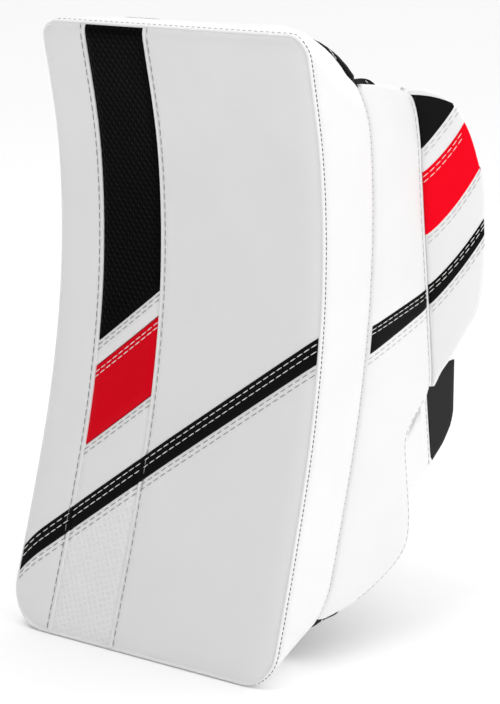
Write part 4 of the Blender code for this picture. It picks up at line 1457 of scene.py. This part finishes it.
side_low, side_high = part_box("hand_side_panel")
side_front, side_back = [], []
for s in spread(24):
    y = mix(side_low.y, side_high.y, s)
    heights = [mix(side_low.z, side_high.z, t) for t in spread(30)]
    bulge = [swell(min(y - side_low.y, side_high.y - y, z - side_low.z, side_high.z - z), 3.6 * MM, 30 * MM)
             for z in heights]
    side_front.append([Vector((side_low.x - b, y, z)) for z, b in zip(heights, bulge)])
    side_back.append([Vector((side_high.x - b, y, z)) for z, b in zip(heights, bulge)])
hand_side = solid("hand_side_cloth", side_front, side_back, nylon)
stand_in(hand_side, "blocker", "black_nylon", "hand_side_panel")
print("flat goods:", palm.name, [row[1] for row in FLAT_GOODS])

# %% [markdown]
# ## Thread
# Most seams show thread: twin rows beside each band, single rows along the edgings, tight dark stitches
# under the welt. A hand-placed bead for each would be thousands of objects. A Geometry Nodes tree
# walks along drawn seam lines and sets one bead at each step, turned along the line; the result is
# kept as one plain mesh for each group of seams.

# %% Stitch tree
def stitch_tree():
    """Beads of thread along the edges of the mesh it is given."""
    tree = bpy.data.node_groups.new("Stitches", "GeometryNodeTree")
    face = tree.interface
    face.new_socket("Seam lines", in_out="INPUT", socket_type="NodeSocketGeometry")
    for label, value in (("Pitch", 4 * MM), ("Length", 3 * MM), ("Thickness", 0.8 * MM)):
        face.new_socket(label, in_out="INPUT", socket_type="NodeSocketFloat").default_value = value
    face.new_socket("Thread", in_out="INPUT", socket_type="NodeSocketMaterial")
    face.new_socket("Stitches", in_out="OUTPUT", socket_type="NodeSocketGeometry")
    given = add(tree, "NodeGroupInput").outputs
    lines = add(tree, "GeometryNodeMeshToCurve", {"Mesh": given["Seam lines"]})
    steps = add(tree, "GeometryNodeResampleCurve", {"Curve": lines.outputs[0], "Length": given["Pitch"]},
                mode="LENGTH")
    along = add(tree, "GeometryNodeInputTangent")
    turned = add(tree, "FunctionNodeAlignRotationToVector", {"Vector": along.outputs[0]}, axis="Z")
    bead = add(tree, "GeometryNodeMeshUVSphere", {"Segments": 6, "Rings": 5, "Radius": 0.5})
    size = add(tree, "ShaderNodeCombineXYZ", {"X": given["Thickness"], "Y": given["Thickness"],
                                              "Z": given["Length"]})
    shaped = add(tree, "GeometryNodeTransform", {"Geometry": bead.outputs["Mesh"], "Scale": size.outputs[0]})
    placed = add(tree, "GeometryNodeInstanceOnPoints", {
        "Points": steps.outputs[0], "Instance": shaped.outputs[0], "Rotation": turned.outputs[0]})
    real = add(tree, "GeometryNodeRealizeInstances", {"Geometry": placed.outputs[0]})
    soft = add(tree, "GeometryNodeSetShadeSmooth", {"Geometry": real.outputs[0]})
    done = add(tree, "GeometryNodeSetMaterial", {"Geometry": soft.outputs[0], "Material": given["Thread"]})
    add(tree, "NodeGroupOutput", {"Stitches": done.outputs[0]})
    return tree


STITCHES = stitch_tree()


def sew(name, body, runs, thread, pitch=4.0 * MM, length=3.0 * MM, thick=0.8 * MM):
    """Sews along every run, a list of points, and keeps the thread as one plain mesh."""
    bm = bmesh.new()
    for run in runs:
        verts = [bm.verts.new(p) for p in run]
        for a, b in zip(verts, verts[1:]):
            bm.edges.new((a, b))
    mesh = bpy.data.meshes.new(name)
    bm.to_mesh(mesh)
    bm.free()
    obj = bpy.data.objects.new(name, mesh)
    scene.collection.objects.link(obj)
    nodes = obj.modifiers.new("Stitches", "NODES")
    nodes.node_group = STITCHES
    values = {"Pitch": pitch, "Length": length, "Thickness": thick, "Thread": thread}
    for item in STITCHES.interface.items_tree:
        if item.in_out == "INPUT" and item.name in values:
            nodes[item.identifier] = values[item.name]
    bake(obj)
    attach(obj, body)
    print(name, len(obj.data.polygons), "faces")
    return obj


# %% Seam lines on the face
stitch_face = surface_of(*face_pieces, stripe)
INLAY_MARGIN = 3.0 * MM


def face_row(line, start, end, lift=0.05 * MM, steps=40):
    """A run of points on the face along a line, from one nominal x to another."""
    return [lay_on_face(mix(start, end, t), line(mix(start, end, t)), lift, stitch_face) for t in even(steps)]


def upright_row(x, low, high, lift=0.05 * MM, steps=150):
    return [lay_on_face(x, mix(low, high, t), lift, stitch_face) for t in even(steps)]


inlay_span = (INLAY_LEFT + INLAY_MARGIN, INLAY_RIGHT - INLAY_MARGIN)
panel_spans = ((-face_edge + 2.0 * MM, INLAY_LEFT - INLAY_MARGIN), inlay_span,
               (INLAY_RIGHT + INLAY_MARGIN, face_edge - 2.0 * MM))
shaded_thread_rows, white_rows = [], []
for drop_by in (2.6 * MM, 5.6 * MM):
    shaded_thread_rows.append(face_row(band(INLAY_BLACK_LOW - drop_by), *inlay_span))
    white_rows.append(face_row(band(INLAY_RED_HIGH - drop_by - 1.2 * MM), *inlay_span))
    shaded_thread_rows.append(face_row(band(INLAY_RED_LOW - drop_by), *inlay_span))
for span in panel_spans:
    for drop_by in (3.3 * MM, 7.6 * MM):
        white_rows.append(face_row(stripe_line(STRIPE_HIGH - drop_by), *span))
        shaded_thread_rows.append(face_row(stripe_line(STRIPE_LOW - 0.75 * drop_by), *span))
for x, out in ((INLAY_LEFT, -1), (INLAY_RIGHT, 1)):
    place = x + out * 2.2 * MM
    shaded_thread_rows.append(upright_row(place, rim_low(place) + 3 * MM, rim_high(place) - 2 * MM))
# Rows on the white panels take white thread painted grey, as painted shade in the needle holes.
sew("face_thread_white_in_painted_shade", "blocker", shaded_thread_rows, shaded_white_thread, 5.6 * MM, 4.7 * MM, 0.6 * MM)
sew("face_thread_white", "blocker", white_rows, white_thread, 5.4 * MM, 4.7 * MM, 0.6 * MM)

# %% Seam under the welt
welt_row = [ring_point(i, 0.0, 0.25 * MM, at_depth(2.1 * MM)) for i in range(len(FRONT_LINE))]
along_top = [i for i, (x, z, out) in enumerate(FRONT_LINE) if out[1] > 0.7]
below_top = list(range(along_top[-1], len(FRONT_LINE))) + list(range(along_top[0] + 1))
sew("welt_thread", "blocker", [[welt_row[i] for i in below_top]], dark_thread,
    2.9 * MM, 2.2 * MM, 0.75 * MM)
# Along the top the welt is sewn with the white thread painted grey as shade.
sew("welt_thread_top", "blocker", [[welt_row[i] for i in along_top]], shaded_white_thread,
    4.0 * MM, 2.6 * MM, 0.6 * MM)

# %% Seam lines of the sidewall and the wing
side_top = surface_of(side_shell, side_stripe)
wing_top_surface = surface_of(wing_shell, *wing_laid)


def shell_row(surface, place, normal, line, start, end, lift=0.1 * MM, steps=30):
    """A run of points on a shell: line gives v at each u."""
    run = []
    for t in even(steps):
        u = mix(start, end, t)
        v = line(u)
        hit = surface.ray_cast(place(u, v, -12 * MM), -normal, 0.03)[0]
        if hit is not None:
            run.append(hit + normal * lift)
    return run


def side_row(line, start=0.02, end=0.96):
    return shell_row(side_top, on_side, side_out, line, start, end)


def wing_row(line, start, end):
    return shell_row(wing_top_surface, on_wing, wing_out, line, start, end)


def lower(line, by):
    return lambda u: line(u) - by


shaded_thread_rows, white_rows = [], []
for by in (2.6 * MM, 5.6 * MM):
    shaded_thread_rows += [wing_row(lower(black_low, by), 0.003, 0.0245), wing_row(lower(red_low, by), 0.003, 0.036),
                  wing_row(lower(stripe_low, by), 0.003, 0.037), side_row(lower(side_stripe_low, by))]
for by in (2.0 * MM, 4.6 * MM):
    white_rows += [wing_row(lower(red_top, by * 1.3), 0.002, 0.0245),
                   wing_row(lower(stripe_top, by), 0.002, 0.037), side_row(lower(side_stripe_high, by))]


def beside_seam(u, v, inward):
    """A point of the sidewall 3 mm before its seam with the wing."""
    start, end = side_span(v)
    return on_side(1 - 3.0 * MM / (end - start), v, inward)


seam_rows = [shell_row(side_top, beside_seam, side_out, lambda u: u, SEAM_LOW, SEAM_HIGH - 4.0 * MM,
                       steps=90)]
# Rows on the white sidewall and wing take white thread painted pale grey, as painted shade in the needle
# holes.
sew("side_thread_white_in_painted_shade", "blocker", shaded_thread_rows + seam_rows, lightly_shaded_white_thread,
    5.2 * MM, 4.4 * MM, 0.5 * MM)
sew("side_thread_white", "blocker", white_rows, white_thread, 5.0 * MM, 4.4 * MM, 0.5 * MM)

# %% Edge seam of the sidewall and needle holes beside the gusset
EDGE_SEAM = 5.0 * MM


def edge_seam(z):
    """Points a constant way inside the sidewall's rear edge."""
    start, end = side_span(z)
    return max(1 - EDGE_SEAM / max(end - start, EDGE_SEAM), 0.0)


edge_run = shell_row(side_top, lambda u, v, i: on_side(edge_seam(v), v, i), side_out, lambda u: u,
                     -0.172, -0.062,
                     steps=90)
sew("sidewall_edge_thread", "blocker", [edge_run], lightly_shaded_white_thread,
    4.4 * MM, 3.6 * MM, 0.45 * MM)
# The needle holes are short beads of white thread painted pale grey: painted shade in the holes.
hole_runs = [[ring_point(i, 1.0, 0.1 * MM, from_rear(0.3 * MM)) for i in range(len(REAR_LINE))
              if beside_sidewall(i) and (REAR_LINE[i][1] > -0.005) == upper] for upper in (True, False)]
sew("gusset_needle_holes", "blocker", hole_runs, lightly_shaded_white_thread, 3.7 * MM, 1.0 * MM, 0.7 * MM)

# %% White stitches of the corner cloths and the thumb shield
sew("thumb_shield_thread", "thumb", [guard_seam], lightly_shaded_white_thread, 4.4 * MM, 3.6 * MM, 0.5 * MM)


def on_cloth(cloth, y, z):
    """A point on the outer side of a corner cloth."""
    hit = surface_of(cloth).ray_cast(Vector((0.2, y, z)), Vector((-1, 0, 0)))[0]
    return hit + Vector((0.1 * MM, 0, 0)) if hit else Vector((side_x(y, z), y, z))


def between_points(a, b, steps=6):
    return [a.lerp(b, t) for t in even(steps)]


top_rim, low_rim = rim_y(0.135), rim_y(-0.181)
corner_rows = [
    between_points(on_cloth(top_cloth, top_rim + 0.0105, 0.1385),
                   on_cloth(top_cloth, top_rim + 0.0135, 0.1345)),
    between_points(ring_point(141, 1.0, 0.6 * MM, from_rear(-1.9 * MM)),
                   ring_point(142, 1.0, 2.2 * MM, from_rear(-1.9 * MM))),
    between_points(on_cloth(low_cloth, low_rim + 0.0085, -0.1815),
                   on_cloth(low_cloth, low_rim + 0.0095, -0.1795)),
]
sew("corner_thread", "blocker", corner_rows, white_thread, 2.4 * MM, 2.4 * MM, 0.5 * MM)

# %% Thread of the glove
def box_run(box, margin, y):
    low, high = box
    corners = [(low.x + margin, low.z + margin), (high.x - margin, low.z + margin),
               (high.x - margin, high.z - margin), (low.x + margin, high.z - margin)]
    run = []
    for (x0, z0), (x1, z1) in zip(corners, corners[1:] + corners[:1]):
        run += [Vector((mix(x0, x1, t), y, mix(z0, z1, t))) for t in even(16)]
    return [p + Vector((0, palm_crown(p.x, p.z), 0)) for p in run]


hem = [Vector((x, PALM_Y + palm_crown(x, palm_low(x) + 2.6 * MM), palm_low(x) + 2.6 * MM))
       for x in (mix(-0.046, 0.088, t) for t in even(60))]
patch_box, strap_box, tab_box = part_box("palm_patch"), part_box("wrist_strap"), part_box("strap_pull_tab")
palm_runs = [hem, box_run(patch_box, 2.2 * MM, patch_box[1].y)]
sew("palm_thread", "blocker", palm_runs, dark_thread, 3.2 * MM, 2.4 * MM, 0.7 * MM)
sew("strap_thread", "strap",
    [box_run(strap_box, 2.2 * MM, strap_box[1].y), box_run(tab_box, 2.0 * MM, tab_box[1].y)], white_thread,
    3.2 * MM, 2.4 * MM, 0.7 * MM)
for finger in FINGERS:
    low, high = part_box(finger + "_finger_palm")
    middle = (low.x + high.x) / 2
    half, length = FINGER_HALF + 0.2 * MM, high.z - low.z
    rows = []
    for side in (-1, 1):
        rows.append([Vector((middle + side * half * dome(u, 1 - half / length), low.y - 0.1 * MM,
                             high.z - length * u)) for u in (math.sin(t * math.pi / 2) for t in even(40))])
    sew(finger + "_finger_thread", finger + "_finger", rows, shaded_white_thread,
        3.2 * MM, 2.4 * MM, 0.7 * MM)

# %% [markdown]
# ## Last lines
# Four frame nodes keep their own shape, all inside the others: they get their finish here.

# %% Frame nodes that stay
KEPT = {
    foam: ("face_foam", "wing_core", "thumb_guard_core"),
    polyethylene: ("stiffener_plate",),
}
for mat, names in KEPT.items():
    for name in names:
        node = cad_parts[name]
        node.data.materials.clear()
        node.data.materials.append(mat)
print("finished nodes:", sum(len(names) for names in KEPT.values()))
